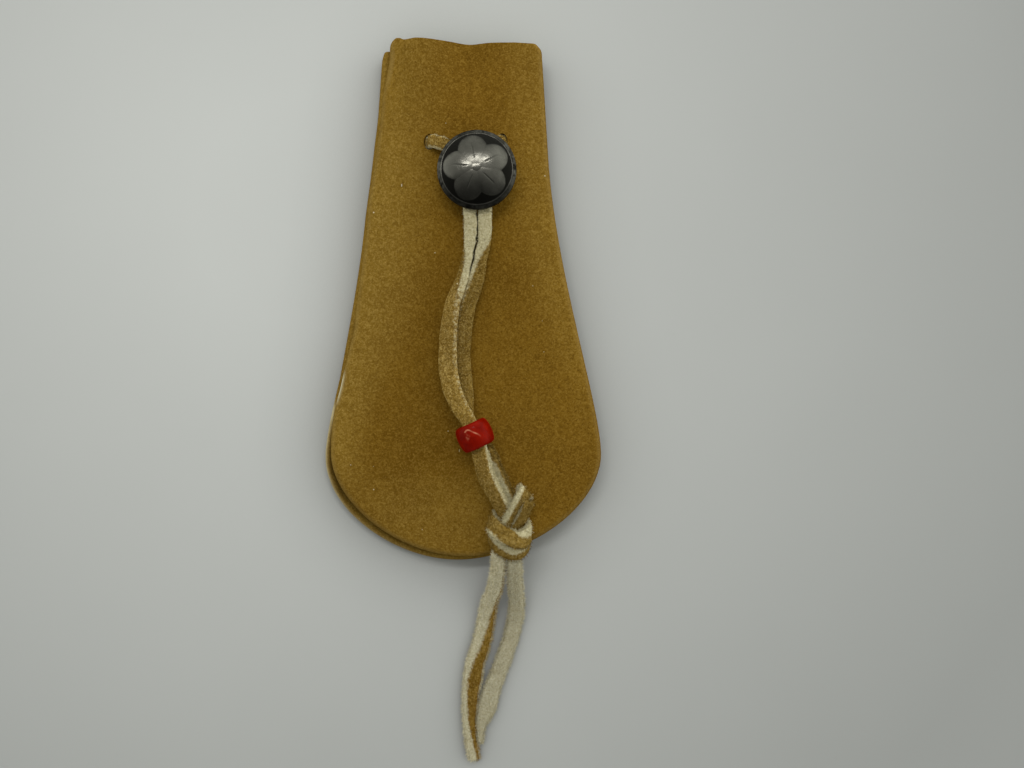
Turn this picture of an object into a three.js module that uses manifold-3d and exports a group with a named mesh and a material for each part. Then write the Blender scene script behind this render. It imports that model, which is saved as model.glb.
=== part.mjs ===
// Drawstring pouch of two bell-shaped buckskin panels, lying on its back.
// Millimetres, +Z up, +Y towards the mouth, origin on the ground under the middle of the pouch.
// Inside the pouch's own group, x is measured from the front panel's centre line and y from its bottom.

import * as THREE from 'three';
import { mergeVertices } from 'three/addons/utils/BufferGeometryUtils.js';
import Module from 'manifold-3d';

const wasm = await Module();
wasm.setup();

// Panel outline: a straight neck, a flank that flares to the widest place, and a round bottom
const PANEL_LENGTH = 128.9;
const MOUTH_WIDTH = 38;
const NECK_WIDTH = 41.4;
const NECK_LENGTH = 28;
const BODY_WIDTH = 68.1;
const WIDEST_HEIGHT = 25.7;
const FLANK_PULL = 29.2;
const HIP_PULL = 12;
const SIDE_PULL = 12;
const BOTTOM_PULL = 17.7;
const MOUTH_CORNER = 2.2;
const MOUTH_PINCH = 1.1;

// Hide and turned seam
const LEATHER = 1.5;
const THREAD_DIAMETER = 0.5;
const THREAD_CLEARANCE = 0.15;
const SEAM_ALLOWANCE = 3.6;
const SEAM_GAP = 0.3;
const STITCH_INSET = 3.9;
const STITCH_END = 2;

// The back panel lies a little to the lower left of the front panel
const LEAN_X = 2.4;
const LEAN_Y = 2.1;
const BACK_MOUTH_RISE = 0.9;
const BACK_MOUTH_START = 112;

// The left flank is fuller than the right one, most of all on the front panel
const FLANK_BULGE = 3.2;
const BACK_FLANK_BULGE = 1.4;
const FLANK_LOW = 26;
const FLANK_FULL = 88;
const FLANK_HIGH = 116;
const FLANK_INNER = 9;
const FLANK_OUTER = 6;

// Swell of the front panel, and the folds of its mouth
const NECK_CROWN = 1.8;
const BELLY_CROWN = 1.1;
const CROWN_BLEND = [45, 95];
const CROWN_POWER = 2.5;
const BOTTOM_SWELL = 32;
const MOUTH_FADE = 22;
const FOLD_EDGE_FADE = 0.25;
const MOUTH_FOLDS = [
  { x: -12, spread: 6.5, rise: 2.2, cut: 0 },
  { x: -18, spread: 3, rise: 0, cut: 0.6 },
  { x: 1, spread: 4, rise: -0.7, cut: -0.4 },
  { x: 10, spread: 5, rise: 0.4, cut: -0.3 },
  { x: 17, spread: 3, rise: 0, cut: -0.3 },
];

// Lace and its slits
const LACE_WIDTH = 3.8;
const LACE_THICKNESS = 1.9;
const LACE_CHAMFER = 0.55;
const LACE_STEP = 2;
const SLIT_HEIGHT = 103.6;
const SLIT_SPREAD = 10.1;
const BACK_SLIT_SPREAD = 10.55;
const SLIT_CLEARANCE = 0.55;
const SLIT_REACH = 4;
const SLIT_SLANT = 20;
const LACE_CLEARANCE = 0.25;
const CHANNEL_RAMP = 3;

// Button: a domed disc with a wire loop under it
const BUTTON_X = 3.1;
const BUTTON_Y = 95.8;
const BUTTON_DIAMETER = 20;
const BUTTON_WALL = 1.4;
const BUTTON_DOME = 2.8;
const BUTTON_RIM = 0.9;
const BUTTON_BEVEL = 0.35;
const SHANK_WIRE = 0.9;
const SHANK_CORNER = 1.4;
const SHANK_CLEARANCE = 0.2;
const SHANK_PLAY = 0.6;
const SOLDER_GAP = 0.1;

// Bead
const BEAD_X = 2.6;
const BEAD_Y = 31;
const BEAD_DIAMETER = 8.8;
const BEAD_LENGTH = 6.3;
const BEAD_EDGE = 1.7;
const BEAD_TURN = 24.4;

// Knot
const KNOT_X = 10.6;
const KNOT_Y = 8.4;
const KNOT_WIDTH = 10.2;
const KNOT_LENGTH = 14;
const KNOT_THICKNESS = 7.4;
const KNOT_CLEARANCE = 0.3;

// Fineness of the surfaces
const PANEL_COLUMNS = 14;
const ROLL_STEPS = 4;
const ROW_STEP = 5.5;
const CHANNEL_ROW_STEP = 1.2;
const BUTTON_RINGS = 6;
const BUTTON_SIDES = 36;
const SHANK_STEPS = 36;
const BEAD_SIDES = 28;
const BEAD_EDGE_STEPS = 5;
const KNOT_RINGS = 5;
const KNOT_SIDES = 18;
const SLIT_END_STEPS = 4;
const THREAD_SIDES = 6;
const WIRE_SIDES = 8;

// Sizes that follow from the ones above
const FOLD_RADIUS = LEATHER + THREAD_DIAMETER / 2 + THREAD_CLEARANCE;
const SEAM_HEIGHT = 2 * FOLD_RADIUS + SEAM_GAP / 2;
const EDGE_HEIGHT = 2 * SEAM_HEIGHT;
const PAIR_WIDTH = 2 * LACE_WIDTH + LACE_CLEARANCE;
const PAIR_HEIGHT = 2 * LACE_THICKNESS + LACE_CLEARANCE;
const CHANNEL_DEPTH = LACE_THICKNESS + LACE_CLEARANCE;
const BEAD_BORE = 2 * (Math.hypot(LACE_WIDTH / 2 - LACE_CHAMFER, PAIR_HEIGHT / 2) + LACE_CLEARANCE);

const HIDE = { color: 0x7a5a20, roughness: 0.95, metalness: 0 };
const HIDE_LACE = { color: 0xa8a07c, roughness: 0.95, metalness: 0 };
const THREAD = { color: 0xb09a66, roughness: 0.8, metalness: 0 };
const OLD_NICKEL = { color: 0x5c584c, roughness: 0.35, metalness: 1 };
const WIRE = { color: 0x807c70, roughness: 0.4, metalness: 1 };
const RED_GLASS = { color: 0x9c1a10, roughness: 0.2, metalness: 0 };
const UP = new THREE.Vector3(0, 0, 1);

const smooth = (from, to, value) => THREE.MathUtils.smoothstep(value, from, to);

function namedMesh(name, geometry, look) {
  const mesh = new THREE.Mesh(geometry, new THREE.MeshStandardMaterial(look));
  mesh.name = name;
  return mesh;
}

// Right half of the outline, from the mouth down to the middle of the bottom
function halfOutline() {
  const lean = new THREE.Vector2((NECK_WIDTH - MOUTH_WIDTH) / 2, -NECK_LENGTH).setLength(FLANK_PULL);
  const neckEnd = new THREE.Vector2(NECK_WIDTH / 2, PANEL_LENGTH - NECK_LENGTH);
  const side = BODY_WIDTH / 2;
  const path = new THREE.Path().moveTo(MOUTH_WIDTH / 2, PANEL_LENGTH);
  path.lineTo(neckEnd.x, neckEnd.y);
  const hip = WIDEST_HEIGHT + HIP_PULL;
  path.bezierCurveTo(neckEnd.x + lean.x, neckEnd.y + lean.y, side, hip, side, WIDEST_HEIGHT);
  path.bezierCurveTo(side, WIDEST_HEIGHT - SIDE_PULL, BOTTOM_PULL, 0, 0, 0);
  return path;
}

const OUTLINE = halfOutline();
const HALF_LENGTH = OUTLINE.getLength();

// Outline point at a distance from the mouth, with the direction into the panel
function outlineSpot(distance) {
  const share = Math.min(distance / HALF_LENGTH, 1);
  const point = OUTLINE.getPoint(share);
  const run = OUTLINE.getTangent(share);
  const inward = share < 1 ? new THREE.Vector2(run.y, -run.x) : new THREE.Vector2(0, 1);
  const corner = Math.max(0, 1 - distance / MOUTH_CORNER);
  const pinch = MOUTH_PINCH * corner ** 2;
  return { x: share < 1 ? point.x - pinch : 0, y: point.y, inward };
}

// Distances of a panel's cross rows from its mouth: close at the corners and, if asked, around the lace
function rowDistances(laceRowStep, shift = 0) {
  const lace = PANEL_LENGTH - SLIT_HEIGHT - shift;
  const reach = LACE_WIDTH / 2 + SLIT_CLEARANCE + CHANNEL_RAMP;
  const rows = [0, MOUTH_CORNER / 4, MOUTH_CORNER / 2, MOUTH_CORNER];
  const addEven = (from, to, step) => {
    const count = Math.max(1, Math.round((to - from) / step));
    for (let i = 1; i <= count; i++) rows.push(from + ((to - from) * i) / count);
  };
  addEven(MOUTH_CORNER, lace - reach, ROW_STEP);
  addEven(lace - reach, lace + reach, laceRowStep);
  addEven(lace + reach, HALF_LENGTH, ROW_STEP);
  return rows;
}

const FRONT_ROWS = rowDistances(ROW_STEP).map(outlineSpot);
const BACK_ROWS = rowDistances(CHANNEL_ROW_STEP, LEAN_Y).map(outlineSpot);

// Half width of the panel between its folded edges, at a height above the bottom
function edgeHalfWidth(y) {
  const next = FRONT_ROWS.findIndex((spot) => spot.y <= y);
  if (next <= 0) return FRONT_ROWS[Math.max(next, 0)].x - FOLD_RADIUS;
  const [above, below] = [FRONT_ROWS[next - 1], FRONT_ROWS[next]];
  const share = (y - below.y) / (above.y - below.y);
  return THREE.MathUtils.lerp(below.x, above.x, share) - FOLD_RADIUS;
}

const foldSum = (x, key) => MOUTH_FOLDS.reduce(
  (sum, fold) => sum + fold[key] * Math.exp(-(((x - fold.x) / fold.spread) ** 2)), 0);
const mouthShare = (y) => smooth(PANEL_LENGTH - MOUTH_FADE, PANEL_LENGTH, y);

// Rise of the front panel above its folded edges
function frontRise(x, y, halfWidth) {
  const across = 1 - Math.min(Math.abs(x) / Math.max(halfWidth, 0.001), 1) ** CROWN_POWER;
  const climb = THREE.MathUtils.clamp((y - FOLD_RADIUS) / BOTTOM_SWELL, 0, 1);
  const crown = THREE.MathUtils.lerp(BELLY_CROWN, NECK_CROWN, smooth(...CROWN_BLEND, y));
  const swell = crown * across * (1 - (1 - climb) ** CROWN_POWER);
  const edgeFade = smooth(0, FOLD_EDGE_FADE, across);
  return THREE.MathUtils.lerp(swell, foldSum(x, 'rise') * edgeFade, mouthShare(y));
}

const frontTop = (x, y) => EDGE_HEIGHT + frontRise(x, y, edgeHalfWidth(y));

// Lift of the back panel over the lace that crosses behind the neck
function backLift(x, y) {
  const along = 1 - smooth(BACK_SLIT_SPREAD, BACK_SLIT_SPREAD + CHANNEL_RAMP, Math.abs(x));
  const flat = LACE_WIDTH / 2 + SLIT_CLEARANCE;
  const across = 1 - smooth(flat, flat + CHANNEL_RAMP, Math.abs(y - SLIT_HEIGHT));
  return CHANNEL_DEPTH * along * across;
}

// Middle line of the folded edge as [inset, height], over the roll to the end of the seam allowance
function edgeSection() {
  const radius = FOLD_RADIUS - LEATHER / 2;
  const centre = EDGE_HEIGHT - FOLD_RADIUS;
  const section = [];
  for (let i = 0; i <= ROLL_STEPS; i++) {
    const angle = Math.PI / 2 - (Math.PI * i) / ROLL_STEPS;
    section.push([FOLD_RADIUS - radius * Math.cos(angle), centre + radius * Math.sin(angle)]);
  }
  section.push([FOLD_RADIUS + SEAM_ALLOWANCE, centre - radius]);
  return section;
}

// Share of the left flank's bulge at a point of a row with this half width
function flankShare(x, y, halfWidth) {
  const below = THREE.MathUtils.clamp((y - FLANK_LOW) / (FLANK_FULL - FLANK_LOW), 0, 1);
  const height = below * (1 - smooth(FLANK_FULL, FLANK_HIGH, y));
  return height * smooth(FLANK_INNER, Math.max(halfWidth - FLANK_OUTER, FLANK_INNER + 1), -x);
}

// One row across the middle surface of the front panel, from seam allowance to seam allowance
function frontRow(spot, bulge) {
  const right = edgeSection().map(([inset, height]) => new THREE.Vector3(
    spot.x + spot.inward.x * inset, spot.y + spot.inward.y * inset, height));
  const left = right.map((point) => new THREE.Vector3(-point.x, point.y, point.z)).reverse();
  const edge = right[0];
  const columns = [];
  for (let i = 1; i < PANEL_COLUMNS; i++) {
    const x = edge.x * ((2 * i) / PANEL_COLUMNS - 1);
    columns.push(new THREE.Vector3(x, edge.y, edge.z + frontRise(x, edge.y, edge.x)));
  }
  const row = [...left, ...columns, ...right];
  for (const point of row) {
    point.y += foldSum(point.x, 'cut') * mouthShare(point.y);
    point.x -= bulge * flankShare(point.x, point.y, spot.x);
  }
  return row;
}

// The same row of the back panel, turned over, without swell and lifted over the lace
function backRow(spot) {
  const row = frontRow(spot, BACK_FLANK_BULGE);
  for (const point of row) {
    const surface = point.z > EDGE_HEIGHT - LEATHER;
    const height = surface ? EDGE_HEIGHT - LEATHER / 2 : point.z;
    point.z = 2 * SEAM_HEIGHT - height + (surface ? backLift(point.x - LEAN_X, point.y - LEAN_Y) : 0);
    point.x -= LEAN_X;
    point.y -= LEAN_Y - BACK_MOUTH_RISE * smooth(BACK_MOUTH_START, PANEL_LENGTH, point.y);
  }
  return row;
}

// Open sheet through rows of points, with doubled points merged and empty triangles left out
function sheetGeometry(rows) {
  const width = rows[0].length;
  const points = rows.flat().flatMap((point) => point.toArray());
  const corners = [];
  for (let i = 0; i + 1 < rows.length; i++) {
    for (let j = 0; j + 1 < width; j++) {
      const a = i * width + j;
      corners.push(a, a + width, a + 1, a + 1, a + width, a + width + 1);
    }
  }
  const sheet = new THREE.BufferGeometry();
  sheet.setAttribute('position', new THREE.Float32BufferAttribute(points, 3));
  sheet.setIndex(corners);
  const merged = mergeVertices(sheet, 1e-4);
  const kept = [];
  for (let i = 0; i < merged.index.count; i += 3) {
    const [a, b, c] = [0, 1, 2].map((k) => merged.index.getX(i + k));
    if (a !== b && b !== c && c !== a) kept.push(a, b, c);
  }
  merged.setIndex(kept);
  merged.computeVertexNormals();
  return merged;
}

// Closed skin of even thickness around a sheet
function thicken(sheet, thickness, flip) {
  const { position, normal } = sheet.attributes;
  const corners = Array.from(sheet.index.array);
  const points = [];
  for (const side of flip ? [-0.5, 0.5] : [0.5, -0.5]) {
    for (let i = 0; i < position.count; i++) {
      for (const axis of ['getX', 'getY', 'getZ']) {
        points.push(position[axis](i) + normal[axis](i) * side * thickness);
      }
    }
  }
  const edges = new Set();
  const faces = [];
  for (let i = 0; i < corners.length; i += 3) {
    const triangle = corners.slice(i, i + 3);
    triangle.forEach((a, k) => edges.add(`${a} ${triangle[(k + 1) % 3]}`));
    faces.push(triangle, triangle.map((a) => a + position.count).reverse());
  }
  for (const edge of edges) {
    const [a, b] = edge.split(' ').map(Number);
    if (edges.has(`${b} ${a}`)) continue;
    faces.push([a, a + position.count, b + position.count], [a, b + position.count, b]);
  }
  const shell = new THREE.BufferGeometry();
  shell.setAttribute('position', new THREE.Float32BufferAttribute(points, 3));
  shell.setIndex((flip ? faces.map((face) => face.reverse()) : faces).flat());
  return shell;
}

function toSolid(geometry) {
  const plain = geometry.clone();
  plain.deleteAttribute('normal');
  plain.deleteAttribute('uv');
  const merged = mergeVertices(plain, 1e-4);
  return new wasm.Manifold(new wasm.Mesh({
    numProp: 3,
    vertProperties: new Float32Array(merged.attributes.position.array),
    triVerts: new Uint32Array(merged.index.array),
  }));
}

function toGeometry(solid) {
  const mesh = solid.getMesh();
  const geometry = new THREE.BufferGeometry();
  geometry.setAttribute('position', new THREE.Float32BufferAttribute(mesh.vertProperties, 3));
  geometry.setIndex(Array.from(mesh.triVerts));
  geometry.computeVertexNormals();
  return geometry;
}

// Cutter for one slit: a rounded slot that follows the lace through the hide
function slitCutter(x, y, z, slant) {
  const radius = LACE_THICKNESS / 2 + SLIT_CLEARANCE;
  const reach = LACE_WIDTH / 2 + SLIT_CLEARANCE - radius;
  const slot = new THREE.Shape();
  slot.absarc(0, reach, radius, 0, Math.PI);
  slot.absarc(0, -reach, radius, Math.PI, 2 * Math.PI);
  const depth = LEATHER * SLIT_REACH;
  const options = { depth, bevelEnabled: false, curveSegments: SLIT_END_STEPS };
  const geometry = new THREE.ExtrudeGeometry(slot, options);
  geometry.translate(0, 0, -depth / 2);
  geometry.rotateY(THREE.MathUtils.degToRad(slant));
  geometry.translate(x, y, z);
  return toSolid(geometry);
}

function cutPanel(shell, cutters) {
  return toGeometry(cutters.reduce((solid, cutter) => solid.subtract(cutter), toSolid(shell)));
}

function frontPanel() {
  const shell = thicken(sheetGeometry(FRONT_ROWS.map((spot) => frontRow(spot, FLANK_BULGE))), LEATHER, false);
  const middle = frontTop(SLIT_SPREAD, SLIT_HEIGHT) - LEATHER / 2;
  const cutters = [-1, 1].map(
    (side) => slitCutter(side * SLIT_SPREAD, SLIT_HEIGHT, middle, -side * SLIT_SLANT));
  return namedMesh('front_panel', cutPanel(shell, cutters), HIDE);
}

function backPanel() {
  const shell = thicken(sheetGeometry(BACK_ROWS.map(backRow)), LEATHER, true);
  const cutters = [-1, 1].map((side) => slitCutter(side * BACK_SLIT_SPREAD, SLIT_HEIGHT, CHANNEL_DEPTH, 0));
  return namedMesh('back_panel', cutPanel(shell, cutters), HIDE);
}

// Seam thread: it lies on the seam allowance, on the stitch line that both panels share
function seamThread(name, side) {
  const height = SEAM_HEIGHT + side * (SEAM_GAP / 2 + LEATHER + THREAD_CLEARANCE + THREAD_DIAMETER / 2);
  const stitched = rowDistances(ROW_STEP).filter((distance) => distance >= STITCH_END).map(outlineSpot);
  const right = stitched.map((spot) => new THREE.Vector3(
    spot.x + spot.inward.x * STITCH_INSET, spot.y + spot.inward.y * STITCH_INSET, height));
  const left = right.slice(0, -1).map((point) => new THREE.Vector3(-point.x, point.y, height));
  const bulge = (FLANK_BULGE + BACK_FLANK_BULGE) / 2;
  left.forEach((point, i) => { point.x -= bulge * flankShare(point.x, point.y, stitched[i].x); });
  const line = [...left, ...right.reverse()];
  for (const point of line) point.add(new THREE.Vector3(-LEAN_X / 2, -LEAN_Y / 2, 0));
  const section = roundSection(THREAD_DIAMETER, THREAD_SIDES);
  const path = new THREE.CatmullRomCurve3(line);
  return namedMesh(name, alongPath(section, path, line.length), THREAD);
}

function roundSection(diameter, sides) {
  const points = [];
  for (let i = 0; i < sides; i++) {
    const angle = (2 * Math.PI * i) / sides;
    points.push(new THREE.Vector2(Math.cos(angle), Math.sin(angle)).multiplyScalar(diameter / 2));
  }
  return new THREE.Shape(points);
}

function alongPath(section, extrudePath, steps) {
  return new THREE.ExtrudeGeometry(section, { steps, extrudePath, bevelEnabled: false, curveSegments: 1 });
}

// Path of a flat lace. Each station is [x, y, z, roll], with the roll in degrees about the run of the lace.
class LacePath extends THREE.CatmullRomCurve3 {
  constructor(stations, side = null) {
    super(stations.map(([x, y, z]) => new THREE.Vector3(x, y, z)), false, 'centripetal');
    this.rolls = stations.map((station) => THREE.MathUtils.degToRad(station[3] ?? 0));
    this.side = side;
  }

  rollAt(share) {
    const place = share * (this.rolls.length - 1);
    const first = Math.min(Math.floor(place), this.rolls.length - 2);
    return THREE.MathUtils.lerp(this.rolls[first], this.rolls[first + 1], place - first);
  }

  computeFrenetFrames(steps) {
    const frames = { tangents: [], normals: [], binormals: [] };
    for (let i = 0; i <= steps; i++) {
      const share = this.getUtoTmapping(i / steps);
      const tangent = this.getTangent(share);
      const level = this.side ? this.side.clone() : new THREE.Vector3().crossVectors(UP, tangent).normalize();
      const normal = level.applyAxisAngle(tangent, this.rollAt(share));
      frames.tangents.push(tangent);
      frames.normals.push(normal);
      frames.binormals.push(new THREE.Vector3().crossVectors(tangent, normal));
    }
    return frames;
  }
}

function laceSection() {
  const [a, b, c] = [LACE_WIDTH / 2, LACE_THICKNESS / 2, LACE_CHAMFER];
  const right = [[a - c, -b], [a, c - b], [a, b - c], [a - c, b]];
  const left = right.map(([x, y]) => [-x, -y]);
  const corners = [...right, ...left];
  return new THREE.Shape(corners.map(([x, y]) => new THREE.Vector2(x, y)));
}

function lace(name, stations, side) {
  const path = new LacePath(stations, side);
  const steps = Math.ceil(path.getLength() / LACE_STEP);
  return namedMesh(name, alongPath(laceSection(), path, steps), HIDE_LACE);
}

// Lace behind the neck, from inside one front slit, out at the back, across, and up into the other slit
const BACK_HALF = [
  [7, 0.98], [9.35, 1], [10.65, 1.95], [10.85, 3.8], [10.85, 5.8], [10.6, 7.4], [10.2, 8.75],
];
const LACE_BACK = [
  ...BACK_HALF.map(([x, z]) => [-x, SLIT_HEIGHT, z]).reverse(),
  [0, SLIT_HEIGHT, 0.98],
  ...BACK_HALF.map(([x, z]) => [x, SLIT_HEIGHT, z]),
];

// Left strand: out of its slit, down through the button's loop, over the other strand, and through the bead
const LACE_LEFT = [
  [-10.08, 103.6, 9.1], [-9.55, 103.55, 10.3], [-8.1, 103.3, 11.05], [-5.2, 102.3, 11.3], [-2.4, 100.7, 11.6],
  [-0.2, 98.6, 11.9], [1.05, 95.8, 11.98], [1.05, 92, 11.98], [1.05, 88, 11.98], [1.05, 85, 11.9],
  [1, 80.5, 11.3], [0.7, 76.3, 10.85], [-0.1, 71.5, 10.8, 6], [-1.4, 67, 11.05, 16], [-2.8, 62.6, 11.45, 26],
  [-3.6, 57.9, 11.55, 28], [-4.2, 53, 11.6, 26], [-4.2, 48.3, 11.95, 18], [-3.4, 43.6, 12.9, 8],
  [-1.9, 40, 13.9], [-0.45, 37.1, 14.45], [0.54, 35.56, 14.62], [2.6, 31, 14.67], [4.67, 26.44, 14.67],
  [6.73, 21.89, 14.67], [9.54, 15.69, 14.67],
];

// Right strand, beside the left one and then under it
const LACE_RIGHT = [
  [10.08, 103.6, 9.1], [9.55, 103.5, 10.3], [8.2, 102.8, 11.05], [6.9, 101, 11.4], [5.7, 98.7, 11.8],
  [5.15, 95.8, 11.98], [5.15, 92, 11.98], [5.15, 88, 11.98], [5.15, 85, 11.9], [5.1, 80.5, 11.3],
  [4.8, 76.3, 10.85], [4, 71.5, 10.65], [2.9, 67, 10.55], [1.5, 62.6, 10.5], [0.4, 57.9, 10.4],
  [-0.2, 53, 10.35], [-0.25, 48.3, 10.35], [0.25, 43.6, 10.6], [0.35, 40, 11.4], [0.35, 37.1, 12.2],
  [0.54, 35.56, 12.47],
  [2.6, 31, 12.52], [4.67, 26.44, 12.52], [6.73, 21.89, 12.52], [9.54, 15.69, 12.52],
];

// Tails, from under the knot down to the ground
const TAIL_LEFT = [
  [8.3, 1.2, 11.5], [8.1, -1.5, 10.4], [7.85, -4.3, 8.5], [7.1, -8, 6.1], [6.1, -11.5, 4], [5, -17.3, 1.6],
  [3.85, -22.7, 1.05], [2.3, -28, 1.05], [1.4, -33.1, 1.05], [0.85, -38.3, 1.05], [0.7, -43.5, 1.05],
  [1.2, -48.7, 1.05], [2, -53.8, 1.05],
];
const TAIL_RIGHT = [
  [12.6, 1.2, 11.5], [12.6, -1.5, 10.4], [12.5, -4.3, 8.5], [12.7, -8, 6.1], [12.75, -11.5, 4],
  [12.4, -17.3, 1.6], [11.1, -22.7, 1.05], [9.4, -28, 1.05], [7.4, -33.1, 1.05], [5.95, -38.3, 1.05],
  [5.3, -43.5, 1.05], [5.6, -47, 1.05],
];

// Height of the loop's lower wire, the strands in the loop and the button's rim above them
const BUTTON_GROUND = frontTop(BUTTON_X, BUTTON_Y) + SHANK_CLEARANCE;
const BUTTON_RIM_HEIGHT = BUTTON_GROUND + SHANK_WIRE + LACE_THICKNESS + LACE_CLEARANCE + SHANK_CLEARANCE;

// Radius of the sphere that caps a disc of this radius with this rise
const capRadius = (radius, rise) => (radius ** 2 + rise ** 2) / (2 * rise);

// Height of the button's hollow underside above its rim, at a distance from the middle
function hollowHeight(distance) {
  const radius = BUTTON_DIAMETER / 2 - BUTTON_RIM;
  const sphere = capRadius(radius, BUTTON_DOME);
  return Math.sqrt(sphere ** 2 - distance ** 2) - (sphere - BUTTON_DOME);
}

function buttonDome() {
  const radius = BUTTON_DIAMETER / 2;
  const sphere = capRadius(radius, BUTTON_DOME);
  const profile = [];
  for (let i = 0; i <= BUTTON_RINGS; i++) {
    const inner = ((radius - BUTTON_RIM) * i) / BUTTON_RINGS;
    profile.push(new THREE.Vector2(inner, hollowHeight(inner)));
  }
  profile.push(new THREE.Vector2(radius - BUTTON_BEVEL, 0), new THREE.Vector2(radius, BUTTON_BEVEL));
  for (let i = BUTTON_RINGS; i >= 0; i--) {
    const outer = (radius * i) / BUTTON_RINGS;
    const fall = sphere - Math.sqrt(sphere ** 2 - outer ** 2);
    profile.push(new THREE.Vector2(outer, BUTTON_DOME + BUTTON_WALL - fall));
  }
  const geometry = new THREE.LatheGeometry(profile, BUTTON_SIDES);
  geometry.rotateX(Math.PI / 2);
  const mesh = namedMesh('button_dome', geometry, OLD_NICKEL);
  mesh.position.set(BUTTON_X, BUTTON_Y, BUTTON_RIM_HEIGHT);
  return mesh;
}

// Wire loop, soldered by its two ends under the dome, with its lower bar under the lace
function buttonShank() {
  const side = PAIR_WIDTH / 2 + SHANK_PLAY + SHANK_WIRE / 2;
  const low = BUTTON_GROUND + SHANK_WIRE / 2;
  const high = BUTTON_RIM_HEIGHT + hollowHeight(side + SHANK_WIRE / 2) - SOLDER_GAP;
  const at = (x, z) => new THREE.Vector3(x, 0, z);
  const path = new THREE.CurvePath();
  const bend = SHANK_CORNER;
  path.add(new THREE.LineCurve3(at(-side, high), at(-side, low + bend)));
  path.add(new THREE.QuadraticBezierCurve3(at(-side, low + bend), at(-side, low), at(bend - side, low)));
  path.add(new THREE.LineCurve3(at(bend - side, low), at(side - bend, low)));
  path.add(new THREE.QuadraticBezierCurve3(at(side - bend, low), at(side, low), at(side, low + bend)));
  path.add(new THREE.LineCurve3(at(side, low + bend), at(side, high)));
  const geometry = alongPath(roundSection(SHANK_WIRE, WIRE_SIDES), path, SHANK_STEPS);
  const mesh = namedMesh('button_shank', geometry, WIRE);
  mesh.position.set(BUTTON_X, BUTTON_Y, 0);
  return mesh;
}

// Barrel bead around both strands, lying on the front panel
function bead() {
  const [inner, outer, half] = [BEAD_BORE / 2, BEAD_DIAMETER / 2, BEAD_LENGTH / 2];
  const edge = Math.min(BEAD_EDGE, outer - inner);
  const profile = new THREE.Path().moveTo(inner, -half);
  profile.lineTo(outer - edge, -half);
  profile.quadraticCurveTo(outer, -half, outer, edge - half);
  profile.lineTo(outer, half - edge);
  profile.quadraticCurveTo(outer, half, outer - edge, half);
  profile.lineTo(inner, half);
  profile.lineTo(inner, -half);
  const geometry = new THREE.LatheGeometry(profile.getPoints(BEAD_EDGE_STEPS), BEAD_SIDES);
  geometry.rotateZ(THREE.MathUtils.degToRad(BEAD_TURN));
  const mesh = namedMesh('bead', geometry, RED_GLASS);
  mesh.position.set(BEAD_X, BEAD_Y, frontTop(BEAD_X, BEAD_Y) + SHANK_CLEARANCE + outer);
  return mesh;
}

function knot() {
  const radius = KNOT_THICKNESS / 2;
  const geometry = new THREE.CapsuleGeometry(radius, KNOT_LENGTH - KNOT_THICKNESS, KNOT_RINGS, KNOT_SIDES);
  geometry.scale(KNOT_WIDTH / KNOT_THICKNESS, 1, 1);
  const mesh = namedMesh('lace_knot', geometry, HIDE_LACE);
  mesh.position.set(KNOT_X, KNOT_Y, frontTop(KNOT_X, KNOT_Y) + KNOT_CLEARANCE + radius);
  return mesh;
}

const pouch = new THREE.Group();
pouch.add(frontPanel(), backPanel());
pouch.add(seamThread('needle_thread', 1), seamThread('bobbin_thread', -1));
pouch.add(lace('lace_back', LACE_BACK, new THREE.Vector3(0, 1, 0)));
pouch.add(lace('lace_left', LACE_LEFT), lace('lace_right', LACE_RIGHT));
pouch.add(knot(), lace('tail_left', TAIL_LEFT), lace('tail_right', TAIL_RIGHT));
pouch.add(buttonDome(), buttonShank(), bead());
pouch.position.set(LEAN_X / 2, (LEAN_Y - PANEL_LENGTH) / 2, 0);

const part = new THREE.Group();
part.add(pouch);

export default part;
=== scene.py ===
import math
from dataclasses import dataclass
from itertools import product

import bpy
import numpy as np
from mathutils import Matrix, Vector


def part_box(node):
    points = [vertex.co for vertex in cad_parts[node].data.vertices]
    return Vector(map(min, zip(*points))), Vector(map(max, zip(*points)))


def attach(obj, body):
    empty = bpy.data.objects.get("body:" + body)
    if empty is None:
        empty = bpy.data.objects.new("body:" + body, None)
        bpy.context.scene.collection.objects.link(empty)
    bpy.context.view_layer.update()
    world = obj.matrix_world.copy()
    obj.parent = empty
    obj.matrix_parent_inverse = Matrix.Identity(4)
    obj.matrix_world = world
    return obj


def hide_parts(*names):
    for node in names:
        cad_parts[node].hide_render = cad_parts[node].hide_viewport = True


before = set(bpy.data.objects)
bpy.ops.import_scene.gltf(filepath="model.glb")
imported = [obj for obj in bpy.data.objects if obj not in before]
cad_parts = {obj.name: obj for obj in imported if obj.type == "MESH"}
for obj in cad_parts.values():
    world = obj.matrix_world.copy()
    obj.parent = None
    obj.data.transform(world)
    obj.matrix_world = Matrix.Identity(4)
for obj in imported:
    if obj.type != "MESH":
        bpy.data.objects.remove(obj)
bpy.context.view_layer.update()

# Lengths are millimetres from the middle of the front panel's bottom edge, unless a comment says otherwise
MM = 0.001

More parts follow.
